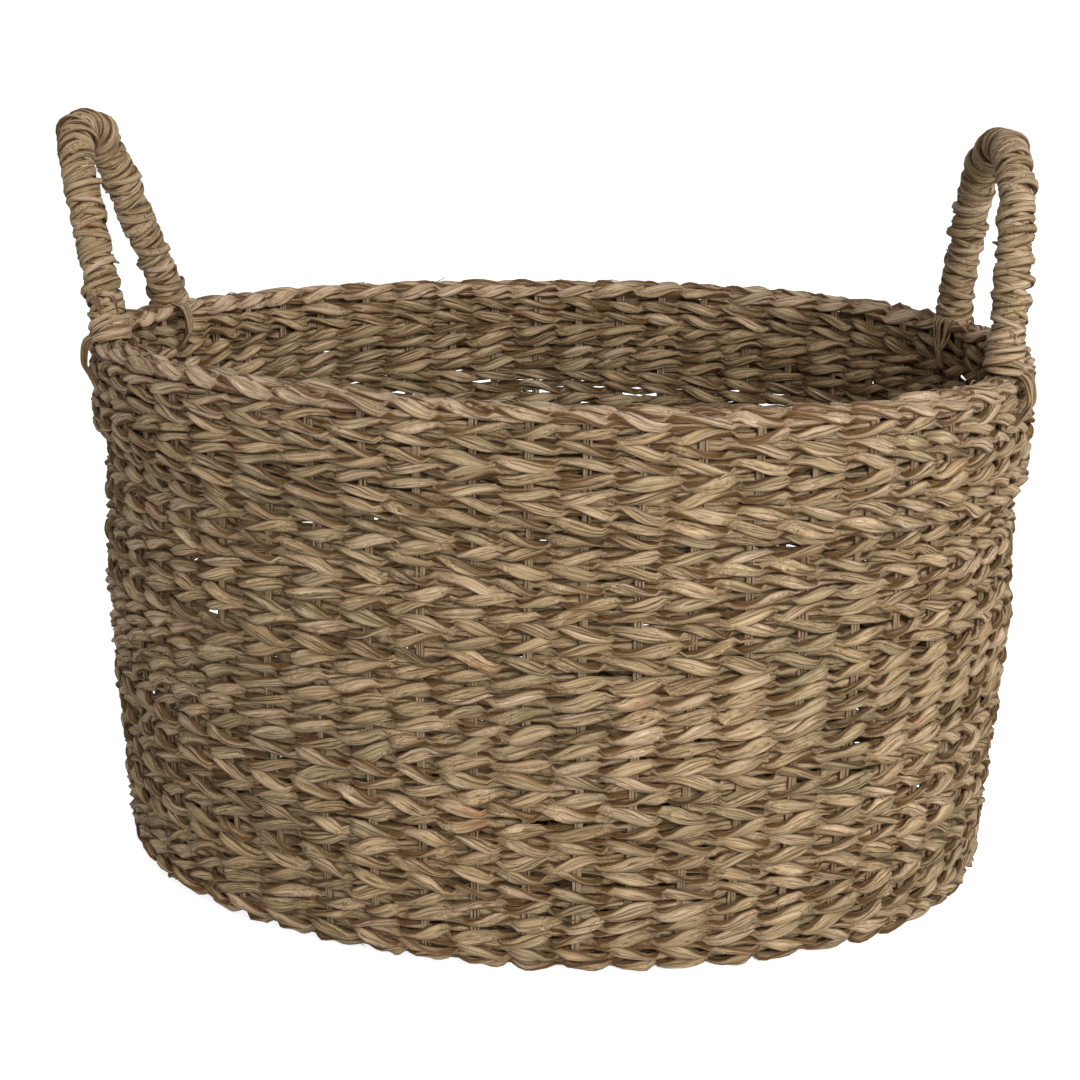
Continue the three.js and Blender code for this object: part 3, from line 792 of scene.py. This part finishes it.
class HandleSeat:
    """Where one handle stands: its hinge line, its feet, its lean and its arch."""

    def __init__(self, shape, sizes, side):
        self.body = f"handle_{side}"
        joint = JOINTS[self.body]
        low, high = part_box(f"handle_core_{side}")
        self.place = np.array(joint["pos_m"])
        self.axis = np.array(joint["axis"])
        self.half_span = ((high.y - low.y) / 2 - sizes.core_radius) / abs(self.axis[1])
        lean = getattr(sizes, f"{side}_lean")
        rise = getattr(sizes, f"{side}_rise")
        self.taper = getattr(sizes, f"{side}_taper")
        drawn_in = 1 - math.sin(self.taper)
        self.radius = (self.half_span * math.cos(self.taper)
                       - rise * math.sin(self.taper)) / drawn_in
        self.straight = (rise - self.radius * drawn_in) / math.cos(self.taper)
        self.bend = math.pi - 2 * self.taper
        self.length = self.bend * self.radius + 2 * self.straight
        self.outward = np.cross(self.axis, UP)
        self.leaning = self.outward * math.sin(lean) + UP * math.cos(lean)
        self.facing = self.outward * math.cos(lean) - UP * math.sin(lean)
        feet = (self.place - self.axis * self.half_span, self.place + self.axis * self.half_span)
        self.sags = [max(0.0, -rim_lift(shape, foot[0], foot[1])) for foot in feet]

    def arch(self, distance):
        """Points at distances along the arch, and the directions towards its inside."""
        turn = np.clip((distance - self.straight) / self.radius, 0, self.bend)
        beyond = distance - self.straight - turn * self.radius
        angle = (self.taper + turn)[:, None]
        inward = self.axis * np.cos(angle) - self.leaning * np.sin(angle)
        along = self.axis * np.sin(angle) + self.leaning * np.cos(angle)
        middle = self.straight * math.cos(self.taper) - self.radius * math.sin(self.taper)
        place = (self.place + self.leaning * middle - inward * self.radius
                 + along * beyond[:, None])
        return place, inward

    def foot(self, y_side):
        return self.place + self.axis * (self.half_span * y_side * np.sign(self.axis[1]))


def wrap_strip(fibres, sizes, chance, seat, hand, offset, shared):
    """One strip wound round a handle from foot to foot, one way or the other."""
    turns = round(seat.length / sizes.wrap_pitch)
    wind = np.arange(turns * sizes.steps + 1) / sizes.steps
    around = hand * 2 * np.pi * wind
    halves = 2 * turns + 2
    past_foot = 0.95 * sizes.core_radius
    first = -past_foot - seat.sags[0]
    last = seat.length + past_foot + seat.sags[1]
    flare_length = 0.016
    least_radius = 0.003

    def varied(low, high, rate=2.0, sharp=1.0):
        return held_between(chance.uniform(low, high, halves), rate * wind, sharp)

    drift, swell = (np.interp(wind * 2, np.arange(halves), values) for values in shared)
    distance = first + (last - first) * wind / turns
    distance = distance + offset + drift + varied(*WRAP_STRAY)
    distance = np.clip(distance, first, last)
    place, inward = seat.arch(distance)
    loops = np.where(chance.random(halves) < sizes.loop_share,
                     chance.uniform(*WRAP_LOOP, halves), 0)
    to_foot = np.minimum(distance - first, last - distance)
    foot_share = np.clip(1 - to_foot / flare_length, 0, 1)
    radius = sizes.core_radius + sizes.strip_half_thickness + swell + varied(*WRAP_STAND)
    radius = radius + held_between(loops, 2 * wind, 1.4) + sizes.flare * foot_share ** 2
    beyond = np.maximum(0, np.maximum(-distance, distance - seat.length))
    radius = np.sqrt(np.maximum(radius ** 2 - (0.5 * beyond) ** 2, least_radius ** 2))
    out_hint = seat.facing * np.cos(around)[:, None] + inward * np.sin(around)[:, None]
    path = place + out_hint * radius[:, None]
    ahead = unit(np.gradient(path, axis=0))
    rolled = out_hint + np.cross(ahead, out_hint) * varied(*WRAP_ROLL)[:, None]
    across, out = framed(path, rolled)
    size = varied(*WRAP_WIDTHS, 3.1, 1.2)
    lines = chance.uniform(0.1, 1, (halves, sizes.sides)) * np.where(
        np.arange(sizes.sides) % 2, 1, -1)
    ridges = 1 + WRAP_RIDGE * held_between(lines, 2 * wind)
    tone = WRAP_TONE[0] + WRAP_TONE[1] * varied(-1, 1, 1.7, 2)
    kind = WRAP_KIND[0] + WRAP_KIND[1] * varied(-1, 1, 1.3, 2)
    fibres.add(path, across, out, sizes.strip_half_width * size,
               sizes.strip_half_thickness * varied(*WRAP_DEPTHS), (tone, kind, 0.0), ridges)


def wrap_end(fibres, sizes, chance, seat):
    """A strip's end that leaves the wrapping, along the turn and a little outward."""
    distance = chance.uniform(0.004, seat.length - 0.004)
    around = chance.uniform(0, 2 * math.pi)
    places, inwards = seat.arch(np.array([distance, distance + 0.001]))
    out = seat.facing * math.cos(around) + inwards[0] * math.sin(around)
    along = unit(places[1] - places[0])
    winding = np.cross(along, out) * chance.choice([-1, 1]) + along * chance.uniform(-0.4, 0.4)
    root = places[0] + out * (sizes.core_radius + 0.0012)
    strip_end(fibres, chance, root, unit(winding), out, *drawn(chance, WRAP_END))


# Lashes: strips side by side that come out under the wrapping and go through the wall

def rim_middle(shape):
    """Where the middle of the rim lies on the long axis, and the rim's inner face."""
    inner = wall_top_reach(shape) - shape.wall_thickness / 2
    return (RIM_TOP.x + inner) / 2, inner


def lash_outline(shape, sizes, name, seat, foot, outward, bow, inner_bow):
    """Knots (outward, height) of a lash, from its outer top down and in to its inner top."""
    middle, inner_face = rim_middle(shape)
    leaning = float(seat.leaning @ outward) / seat.leaning[2]
    stand = 0.6 * sizes.core_radius
    clear, turn_in = 0.0012, 0.0035
    outer = RIM_TOP.x - middle + clear
    inner = inner_face - middle - clear
    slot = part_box(name)[0].z + 0.001
    under, straightened = slot + 0.0006, slot + 0.008
    rise = 0.012
    high = foot[2] + rise
    emerging = foot[2] - 0.003
    top, fold = RIM_TOP.z - 0.001, RIM_FLOOR + 0.001
    return np.array([
        (stand + leaning * rise, high), (stand, emerging),
        (outer + 0.5 * bow, top), (outer + bow, fold),
        (outer + 0.6 * bow, straightened), (outer - turn_in, under),
        (inner + turn_in, under), (inner - 0.6 * inner_bow, straightened),
        (inner - inner_bow, fold), (inner - 0.5 * inner_bow, top),
        (-stand, emerging), (-stand + leaning * rise, high),
    ])


def lash_strip(fibres, chance, sizes, outline, foot, outward, side, strip, roundness):
    """One strip of a lash; roundness spreads it round the handle's foot."""
    knots = len(outline)
    fine = np.linspace(0, knots - 1, 6 * (knots - 1) + 1)
    jitter, strip_distance, layer, closed_share = 0.0005, 0.00135, 0.0012, 0.3

    def varied(size):
        return smooth_through(chance.uniform(-size, size, knots), fine)

    points = outline + chance.uniform(-jitter, jitter, outline.shape)
    line = stacked(*(smooth_through(axis, fine) for axis in points.T))
    line[:, 0] += (strip % 2 - 0.5) * layer * np.sign(line[:, 0])
    from_middle = np.abs(fine / ((knots - 1) / 2) - 1)
    spread = np.clip(from_middle, closed_share, 1) ** 1.5
    offset = (strip - (sizes.lash_strips - 1) / 2) * strip_distance * spread + varied(jitter)
    turn = (strip / (sizes.lash_strips - 1) - 0.5) * math.pi * 1.2
    opened = roundness * np.clip((from_middle - closed_share) / 0.5, 0, 1)
    offset = offset * (1 - opened) + sizes.core_radius * math.sin(turn) * opened
    line[:, 0] += np.sign(line[:, 0]) * sizes.core_radius * (math.cos(turn) - 0.7) * opened
    path = foot + outward * line[:, :1] + side * offset[:, None]
    path[:, 2] = line[:, 1]
    ahead = unit(np.gradient(line, axis=0))
    face = outward * ahead[:, 1:] - UP * ahead[:, :1]
    across, out = framed(path, face)
    width = 0.0008 * (1 + 0.3 * varied(1))
    tone = LASH_TONE[0] + LASH_TONE[1] * varied(1)
    lines = 1 + 0.1 * held_between(chance.uniform(-1, 1, (knots, 8)), fine)
    fibres.add(path, across, out, width, width * 0.75, (tone, chance.uniform(0, 0.4), 0.0), lines)


def smooth_through(values, places):
    """A smooth curve through values at whole places, as a cubic with averaged slopes."""
    slopes = np.gradient(values)
    low = np.clip(np.floor(places).astype(int), 0, len(values) - 2)
    share = places - low
    first, second = values[low], values[low + 1]
    square, cube = share ** 2, share ** 3
    return ((2 * cube - 3 * square + 1) * first + (cube - 2 * square + share) * slopes[low]
            + (3 * square - 2 * cube) * second + (cube - square) * slopes[low + 1])


# Materials

class Tree:
    """A node tree, with short ways to add and link its nodes."""

    def __init__(self, tree):
        self.nodes, self.links = tree.nodes, tree.links

    def put(self, value, socket):
        if isinstance(value, bpy.types.NodeSocket):
            self.links.new(value, socket)
        else:
            socket.default_value = value

    def fill(self, node, inputs):
        for name, value in inputs.items():
            self.put(value, node.inputs[name])

    def add(self, kind, output, inputs, **settings):
        """The output of a new node with these settings and inputs."""
        node = self.nodes.new(f"ShaderNode{kind}")
        for name, value in settings.items():
            setattr(node, name, value)
        self.fill(node, inputs)
        return node.outputs[output]

    def calc(self, operation, *values, clamp=False):
        return self.add("Math", 0, dict(enumerate(values)), operation=operation,
                        use_clamp=clamp)

    def remap(self, value, low, high, new_low, new_high):
        return self.add("MapRange", "Result", {
            "From Min": low, "From Max": high, "To Min": new_low, "To Max": new_high,
            "Value": value})

    def mix(self, factor, first, second, blend="MIX"):
        return self.add("Mix", "Result", {"Factor": factor, "A": first, "B": second},
                        data_type="RGBA", blend_type=blend)

    def noise(self, vector, scale, detail):
        return self.add("TexNoise", "Fac", {"Scale": scale, "Detail": detail, "Vector": vector})

    def attribute(self, name):
        return self.add("Attribute", "Fac", {}, attribute_name=name)

    def joined(self, *values):
        return self.add("CombineXYZ", "Vector", dict(enumerate(values)))


def new_material(name):
    material = bpy.data.materials.new(name)
    material.use_nodes = True
    tree = Tree(material.node_tree)
    return material, tree, tree.nodes["Principled BSDF"]


def opaque(colour, lighter=1.0):
    return (*[lighter * part for part in colour], 1)


def make_fibre_group():
    """Dry grass fibres along a strand: lines, tone, colour families and stains, with painted
    shade along each blade's edges and in the creases at crossings.
    """
    group = bpy.data.node_groups.new("Grass Fibre", "ShaderNodeTree")
    tree = Tree(group)
    sockets = {
        "INPUT": {"Color": ("Straw", "Olive", "Rose", "Rust", "Shade"),
                  "Float": ("Lines Around", "Line Length", "Contrast")},
        "OUTPUT": {"Color": ("Color",), "Float": ("Roughness", "Height")},
    }
    for in_out, kinds in sockets.items():
        for kind, names in kinds.items():
            for name in names:
                group.interface.new_socket(name=name, in_out=in_out,
                                           socket_type=f"NodeSocket{kind}")
    entry = tree.nodes.new("NodeGroupInput").outputs
    result = tree.nodes.new("NodeGroupOutput")
    strand_map = tree.add("UVMap", "UV", {}, uv_map="Strand")
    parts = tree.nodes.new("ShaderNodeSeparateXYZ")
    tree.put(strand_map, parts.inputs["Vector"])
    tone = tree.attribute("tone")
    kind = tree.attribute("kind")

    turn = tree.calc("MULTIPLY", parts.outputs["Y"], 2 * math.pi)
    lengthwise = tree.calc("MULTIPLY", parts.outputs["X"], entry["Line Length"])
    lengthwise = tree.calc("ADD", lengthwise, tree.calc("MULTIPLY", kind, 31.0))
    cosine = tree.calc("COSINE", turn)
    fibre_place = tree.joined(
        lengthwise, tree.calc("MULTIPLY", cosine, entry["Lines Around"]),
        tree.calc("MULTIPLY", tree.calc("SINE", turn), entry["Lines Around"]))
    coarse = tree.noise(fibre_place, 1.0, 2.0)
    fine = tree.noise(fibre_place, 3.4, 2.0)
    split = tree.calc("SUBTRACT", tree.noise(fibre_place, 0.8, 1.0), 0.5)
    slit = tree.remap(tree.calc("ABSOLUTE", split), 0.0, 0.035, 1.0, 0.0)
    place = tree.add("TexCoord", "Object", {})
    patches = tree.noise(place, 14.0, 2.0)
    stains = tree.noise(place, 46.0, 3.0)

    family = tree.calc("ADD", kind, tree.remap(patches, 0.3, 0.7, -0.22, 0.22))
    to_olive = tree.remap(family, 0.4, 0.75, 0.0, 0.9)
    to_rose = tree.remap(tone, 0.6, 0.95, 0.0, 0.7)
    stained = tree.calc("MULTIPLY", tree.remap(stains, 0.58, 0.7, 0.0, 1.0),
                        tree.remap(kind, 0.45, 0.1, 0.0, 0.75))
    colour = tree.mix(to_olive, entry["Straw"], entry["Olive"])
    colour = tree.mix(to_rose, colour, entry["Rose"])
    colour = tree.mix(stained, colour, entry["Rust"])

    lines = tree.remap(coarse, 0.36, 0.64, -0.26, 0.15)
    threads = tree.remap(fine, 0.35, 0.65, -0.3, 0.2)
    slits = tree.calc("MULTIPLY", slit, -0.45)
    bright = tree.calc("ADD", tree.calc("ADD", lines, threads), slits)
    bright = tree.calc("MULTIPLY", bright, entry["Contrast"])
    bright = tree.calc("ADD", bright, tree.remap(tone, 0.0, 1.0, 0.72, 1.2))
    bright = tree.calc("MAXIMUM", bright, 0.12)
    # Dark parts turn browner, because blue falls faster than red
    tint = tree.joined(*(tree.calc("POWER", bright, power) for power in (0.9, 1.0, 1.25)))
    colour = tree.add("VectorMath", "Vector", {0: colour, 1: tint}, operation="MULTIPLY")
    # Painted shade: each blade darkens towards its edges, where it meets the next one, and in the
    # creases at the crossings
    edge = tree.calc("POWER", tree.calc("ABSOLUTE", cosine), 3.0)
    painted_shade_share = tree.calc("ADD", edge, tree.attribute("crease"), clamp=True)
    threaded = tree.calc("ADD", coarse, tree.calc("MULTIPLY", fine, 0.45))
    tree.fill(result, {
        "Color": tree.mix(painted_shade_share, colour, entry["Shade"], "MULTIPLY"),
        "Roughness": tree.remap(coarse, 0.3, 0.7, 0.8, 0.55),
        "Height": tree.calc("SUBTRACT", threaded, tree.calc("MULTIPLY", slit, 0.35)),
    })
    return group


def grass_material(name, group, colours, lighter, contrast, line_length, lines_around):
    """Grass in the strand's own colours, dull and with a little sheen."""
    tree, shader = new_material(name)[1:]
    fibre = tree.nodes.new("ShaderNodeGroup")
    fibre.node_tree = group
    tree.fill(fibre, {
        "Straw": opaque(colours.straw, lighter), "Olive": opaque(colours.olive, lighter),
        "Rose": opaque(colours.rose, lighter), "Rust": opaque(colours.rust, lighter),
        "Shade": opaque(colours.shade), "Contrast": contrast, "Line Length": line_length,
        "Lines Around": lines_around,
    })
    tree.fill(shader, {
        "Base Color": fibre.outputs["Color"], "Roughness": fibre.outputs["Roughness"],
        "Normal": tree.add("Bump", "Normal", {
            "Strength": 0.8, "Distance": 0.0005, "Height": fibre.outputs["Height"]}),
        "Specular IOR Level": 0.25, "Sheen Weight": 0.05, "Sheen Roughness": 0.5,
    })


def stem_material(colours):
    """Dry stems of the handle cores, streaked along their length by Object coordinates."""
    tree, shader = new_material("Stem Bundle")[1:]
    place = tree.add("TexCoord", "Object", {})
    stretched = tree.add("Mapping", "Vector", {"Scale": (900, 900, 60), "Vector": place})
    streaks = tree.add("TexNoise", "Fac", {"Scale": 1.0, "Vector": stretched})
    ramp = tree.nodes.new("ShaderNodeValToRGB")
    ramp.color_ramp.elements[0].color = opaque(colours.olive, 0.4)
    ramp.color_ramp.elements[1].color = opaque(colours.straw)
    tree.fill(ramp, {"Fac": streaks})
    tree.fill(shader, {
        "Base Color": ramp.outputs["Color"], "Roughness": 0.8,
        "Normal": tree.add("Bump", "Normal", {"Distance": 0.0004, "Height": streaks}),
    })


# Operators, one for each group of like pieces

def step_start(context, step):
    """The sizes that every step needs, and a chance of its own."""
    shape, weave = context.scene.basket_shape, context.scene.basket_weave
    return shape, weave, np.random.default_rng(weave.seed + step)


class BASKET_OT_make_materials(bpy.types.Operator):
    """Make the finishes of strands, stakes, wrapping and stems"""
    bl_idname = "basket.make_materials"
    bl_label = "Make Materials"

    def execute(self, context):
        colours = context.scene.basket_colours
        group = make_fibre_group()
        for name, looks in FINISHES.items():
            grass_material(name, group, colours, *looks)
        stem_material(colours)
        return {"FINISHED"}


class BASKET_OT_weave_base(bpy.types.Operator):
    """Twine the rows of the base round its crossed stakes"""
    bl_idname = "basket.weave_base"
    bl_label = "Weave Base"

    def execute(self, context):
        shape, weave, chance = step_start(context, 0)
        points, lengths = middle_line(shape, weave)
        rows = base_places(shape, weave, points, lengths)
        fibres = Fibres(settled_by(shape))
        weave_rows(fibres, shape, weave, chance, points, lengths, rows, fine=False)
        finish_piece(fibres, "base_rows", "Seagrass Base", "basket",
                     "base_weave")
        return {"FINISHED"}


class BASKET_OT_weave_wall(bpy.types.Operator):
    """Twine the wall's rows from the foot up to the rim, in five bands"""
    bl_idname = "basket.weave_wall"
    bl_label = "Weave Wall"

    def execute(self, context):
        shape, weave, chance = step_start(context, 1)
        points, lengths = middle_line(shape, weave)
        place, pitch = base_places(shape, weave, points, lengths)[-1]
        rows = row_places(
            shape, weave, points, lengths, place + pitch / 2,
            lengths[-1] - weave.collar_pitch / 3)
        bands = ("foot", "lower", "middle", "upper", "top")
        size = math.ceil(len(rows) / len(bands))
        for rank, band in enumerate(bands):
            fibres = Fibres(settled_by(shape))
            part = rows[rank * size:(rank + 1) * size]
            weave_rows(fibres, shape, weave, chance, points, lengths, part)
            finish_piece(fibres, f"wall_rows_{band}", "Seagrass Strand", "basket",
                         "wall_weave")
        return {"FINISHED"}


class BASKET_OT_weave_collar(bpy.types.Operator):
    """Twine the collar's rows on the folded ends of the stakes"""
    bl_idname = "basket.weave_collar"
    bl_label = "Weave Collar"

    def execute(self, context):
        shape, weave, chance = step_start(context, 2)
        spokes = spoke_angles(shape, plate_reach(shape))
        top = RIM_FLOOR + weave.collar_pitch / 2
        fibres = Fibres(settled_by(shape))
        for row in range(weave.collar_rows):

            def lay(angle):
                floor = collar_floor_at(shape, angle)
                share = (row + 0.5) / weave.collar_rows
                return (collar_reach(shape), floor + (top - floor) * share,
                        (top - floor) / weave.collar_rows)

            twined_row(fibres, weave, chance, spokes, lay, (0, 1), (1, 0), weave.wall_sway,
                       row_slant(chance), painted_light=COLLAR_PAINTED_LIGHT)
        finish_piece(fibres, "collar_rows", "Seagrass Strand", "basket",
                     "collar_weave")
        return {"FINISHED"}


class BASKET_OT_twine_rim(bpy.types.Operator):
    """Twine the rim's rows over the folds of the stakes, with a few fine hairs"""
    bl_idname = "basket.twine_rim"
    bl_label = "Twine Rim"

    def execute(self, context):
        shape, weave, chance = step_start(context, 3)
        rim = context.scene.basket_rim
        spokes = spoke_angles(shape, plate_reach(shape))
        fibres = Fibres(settled_by(shape))
        for turn in np.linspace(-rim.spread / 2, rim.spread / 2, rim.rows):
            rim_row(fibres, shape, weave, rim, chance, spokes, turn)
        for hair in range(rim.hairs):
            rim_hair(fibres, shape, chance)
        finish_piece(fibres, "rim_rows", "Seagrass Strand", "basket", "rim_border")
        return {"FINISHED"}


class BASKET_OT_split_stakes(bpy.types.Operator):
    """Lay the stakes, each as three split strips from collar to collar"""
    bl_idname = "basket.split_stakes"
    bl_label = "Split Stakes"

    def execute(self, context):
        shape, weave, chance = step_start(context, 4)
        plate = plate_reach(shape)
        routes = []
        for index in range(shape.cross_stakes):
            x = (index - (shape.cross_stakes - 1) / 2) * shape.stake_spacing
            angle = math.acos(x / plate)
            routes.append((f"cross_stake_{index + 1}", stake_path(
                shape, weave, angle, -angle, shape.cross_level, [])))
        last = math.acos((shape.cross_stakes - 1) / 2 * shape.stake_spacing / plate)
        for index in range(shape.long_stakes):
            rank = index - (shape.long_stakes - 1) / 2
            angle = last * rank / ((shape.long_stakes + 1) / 2)
            y = rank * shape.long_spacing
            middle = [(shape.fan_reach, y, shape.long_level),
                      (-shape.fan_reach, y, shape.long_level)]
            routes.append((f"long_stake_{index + 1}", stake_path(
                shape, weave, angle, math.pi - angle, shape.long_level, middle)))
        for name, (path, side, face) in routes:
            fibres = Fibres(settled_by(shape))
            bundle(fibres, chance, path, side, face)
            finish_piece(fibres, f"{name}_strips", "Stake Strip", "basket", name)
        return {"FINISHED"}


class BASKET_OT_wrap_handles(bpy.types.Operator):
    """Wind strips side by side round the core of each handle"""
    bl_idname = "basket.wrap_handles"
    bl_label = "Wrap Handles"

    def execute(self, context):
        sizes = context.scene.basket_handles
        for rank, side in enumerate(("left", "right")):
            shape, _, chance = step_start(context, 5 + rank)
            seat = HandleSeat(shape, sizes, side)
            fibres = Fibres()
            halves = 2 * round(seat.length / sizes.wrap_pitch) + 2
            shared = [chance.uniform(*part, halves) for part in (WRAP_DRIFT, WRAP_SWELL)]
            for hand, strips in ((1, sizes.strips), (-1, sizes.crossing_strips)):
                for strip in range(strips):
                    offset = (strip - (strips - 1) / 2) * sizes.wrap_pitch / strips
                    wrap_strip(fibres, sizes, chance, seat, hand, offset, shared)
            for end in range(sizes.ends):
                wrap_end(fibres, sizes, chance, seat)
            finish_piece(fibres, f"handle_{side}_wrapping", "Wrapping Strip", seat.body,
                         f"handle_wrap_{side}")
            core = frame["nodes"][f"handle_core_{side}"]
            core.data.materials.clear()
            core.data.materials.append(bpy.data.materials["Stem Bundle"])
        return {"FINISHED"}


class BASKET_OT_tie_lashes(bpy.types.Operator):
    """Tie each handle foot through wall and collar with strips side by side"""
    bl_idname = "basket.tie_lashes"
    bl_label = "Tie Lashes"

    def execute(self, context):
        sizes = context.scene.basket_handles
        for rank, (name, spec) in enumerate(LASH_FEET.items()):
            body, y_side, bow, inner_bow, roundness = spec
            shape, _, chance = step_start(context, 20 + rank)
            middle = rim_middle(shape)[0]
            depth = middle - OVAL_GAP
            seat = HandleSeat(shape, sizes, body.removeprefix("handle_"))
            foot = seat.foot(y_side)
            angle = math.atan2(foot[1] / depth, foot[0] / middle)
            outward = unit(np.array([math.cos(angle) / middle, math.sin(angle) / depth, 0.0]))
            side = np.array([-outward[1], outward[0], 0.0])
            outline = lash_outline(shape, sizes, name, seat, foot, outward, bow, inner_bow)
            fibres = Fibres(settled_by(shape))
            for strip in range(sizes.lash_strips):
                lash_strip(fibres, chance, sizes, outline, foot, outward, side, strip,
                           roundness)
            piece = fibres.build(f"{name}_strips", bpy.data.materials["Wrapping Strip"])
            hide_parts(name)
            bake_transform(piece)
        return {"FINISHED"}


class BASKET_OT_set_stage(bpy.types.Operator):
    """Set the pale floor, the soft lamps, the white surroundings and the camera"""
    bl_idname = "basket.set_stage"
    bl_label = "Set Stage"

    def execute(self, context):
        setup = context.scene.basket_stage
        bpy.ops.object.select_all(action="DESELECT")
        bpy.ops.mesh.primitive_plane_add(size=FLOOR_SIZE, location=(0, 0, -FLOOR_DROP))
        floor = context.object
        floor.name = "floor"
        floor.data.materials.append(self.floor_material())
        self.lamp("key_lamp", KEY_PLACE, KEY_SIZE, setup.key)
        self.lamp("fill_lamp", FILL_PLACE, FILL_SIZE, setup.fill)
        self.surroundings(context, setup.sky)
        self.camera(context, setup)
        context.scene.view_settings.view_transform = "Standard"
        return {"FINISHED"}

    def floor_material(self):
        """A floor that glows for the camera, except under the basket."""
        material, tree, shader = new_material("Pale Floor")
        place = tree.add("TexCoord", "Object", {})
        shrunk = tree.add("VectorMath", "Vector", {
            0: place, 1: (1 / BASE_TOP.x, 1 / BASE_TOP.y, 0)}, operation="MULTIPLY")
        apart = tree.add("VectorMath", "Value", {0: shrunk}, operation="LENGTH")
        seen = tree.add("LightPath", "Is Camera Ray", {})
        glow = tree.calc("MULTIPLY", seen, FLOOR_GLOW)
        tree.fill(shader, {
            "Base Color": FLOOR_COLOUR, "Roughness": 0.9, "Specular IOR Level": 0.1,
            "Emission Color": WHITE,
            "Emission Strength": tree.calc("MULTIPLY", glow,
                                           tree.calc("GREATER_THAN", apart, 1.0)),
        })
        return material

    def lamp(self, name, place, size, power):
        bpy.ops.object.light_add(type="AREA", location=place)
        lamp = bpy.context.object
        lamp.name = name
        lamp.data.size = size
        lamp.data.energy = power
        aim = Vector(LAMP_TARGET) - Vector(place)
        lamp.rotation_euler = aim.to_track_quat("-Z", "Y").to_euler()

    def surroundings(self, context, strength):
        """Even light, but plain white for the camera and in reflections."""
        world = bpy.data.worlds.new("Surroundings")
        context.scene.world = world
        world.use_nodes = True
        tree = Tree(world.node_tree)
        even = tree.nodes["Background"]
        tree.fill(even, {"Color": WHITE, "Strength": strength})
        white = tree.add("Background", "Background", {"Color": WHITE, "Strength": 1.0})
        seen = tree.nodes.new("ShaderNodeLightPath").outputs
        clear = tree.calc("ADD", seen["Is Camera Ray"], seen["Is Glossy Ray"])
        clear = tree.calc("ADD", clear, seen["Is Transmission Ray"], clamp=True)
        mixed = tree.add("MixShader", "Shader", {0: clear, 1: even.outputs["Background"],
                                                 2: white})
        tree.put(mixed, tree.nodes["World Output"].inputs["Surface"])

    def camera(self, context, setup):
        place = Vector((setup.distance * math.sin(setup.yaw),
                        -setup.distance * math.cos(setup.yaw), setup.height))
        heading = setup.yaw + setup.pan
        forward = Vector((-math.sin(heading) * math.cos(setup.pitch),
                          math.cos(heading) * math.cos(setup.pitch), -math.sin(setup.pitch)))
        level = Vector((math.cos(heading), math.sin(heading), 0))
        top = level.cross(forward)
        right = level * math.cos(setup.roll) + top * math.sin(setup.roll)
        top = right.cross(forward)
        bpy.ops.object.camera_add(location=place)
        camera = context.object
        camera.name = "photo_camera"
        turned = Matrix((right, top, -forward)).transposed()
        camera.rotation_euler = turned.to_euler()
        camera.data.lens = setup.photo_focal / setup.photo_width * camera.data.sensor_width
        context.scene.camera = camera


class VIEW3D_PT_basket(bpy.types.Panel):
    """Steps of making the basket, in order"""
    bl_idname = "VIEW3D_PT_basket"
    bl_label = "Seagrass Basket"
    bl_space_type = "VIEW_3D"
    bl_region_type = "UI"
    bl_category = "Basket"

    def draw(self, context):
        for step in STEPS:
            self.layout.operator(step.bl_idname)
        for name, kind in GROUPS:
            box = self.layout.box()
            for value in kind.__annotations__:
                box.prop(getattr(context.scene, name), value)


STEPS = (
    BASKET_OT_make_materials,
    BASKET_OT_weave_base,
    BASKET_OT_weave_wall,
    BASKET_OT_weave_collar,
    BASKET_OT_twine_rim,
    BASKET_OT_split_stakes,
    BASKET_OT_wrap_handles,
    BASKET_OT_tie_lashes,
    BASKET_OT_set_stage,
)
GROUPS = (
    ("basket_shape", BasketShape),
    ("basket_weave", WeaveSizes),
    ("basket_rim", RimSizes),
    ("basket_handles", HandleSizes),
    ("basket_colours", FibreColours),
    ("basket_stage", StageSetup),
)


def register():
    for name, group in GROUPS:
        bpy.utils.register_class(group)
        setattr(bpy.types.Scene, name, bpy.props.PointerProperty(type=group))
    for step in STEPS:
        bpy.utils.register_class(step)
    bpy.utils.register_class(VIEW3D_PT_basket)


def unregister():
    bpy.utils.unregister_class(VIEW3D_PT_basket)
    for step in reversed(STEPS):
        bpy.utils.unregister_class(step)
    for name, group in reversed(GROUPS):
        delattr(bpy.types.Scene, name)
        bpy.utils.unregister_class(group)


def main():
    register()
    bpy.ops.basket.make_materials()
    bpy.ops.basket.weave_base()
    bpy.ops.basket.weave_wall()
    bpy.ops.basket.weave_collar()
    bpy.ops.basket.twine_rim()
    bpy.ops.basket.split_stakes()
    bpy.ops.basket.wrap_handles()
    bpy.ops.basket.tie_lashes()
    bpy.ops.basket.set_stage()


if __name__ == "__main__":
    main()
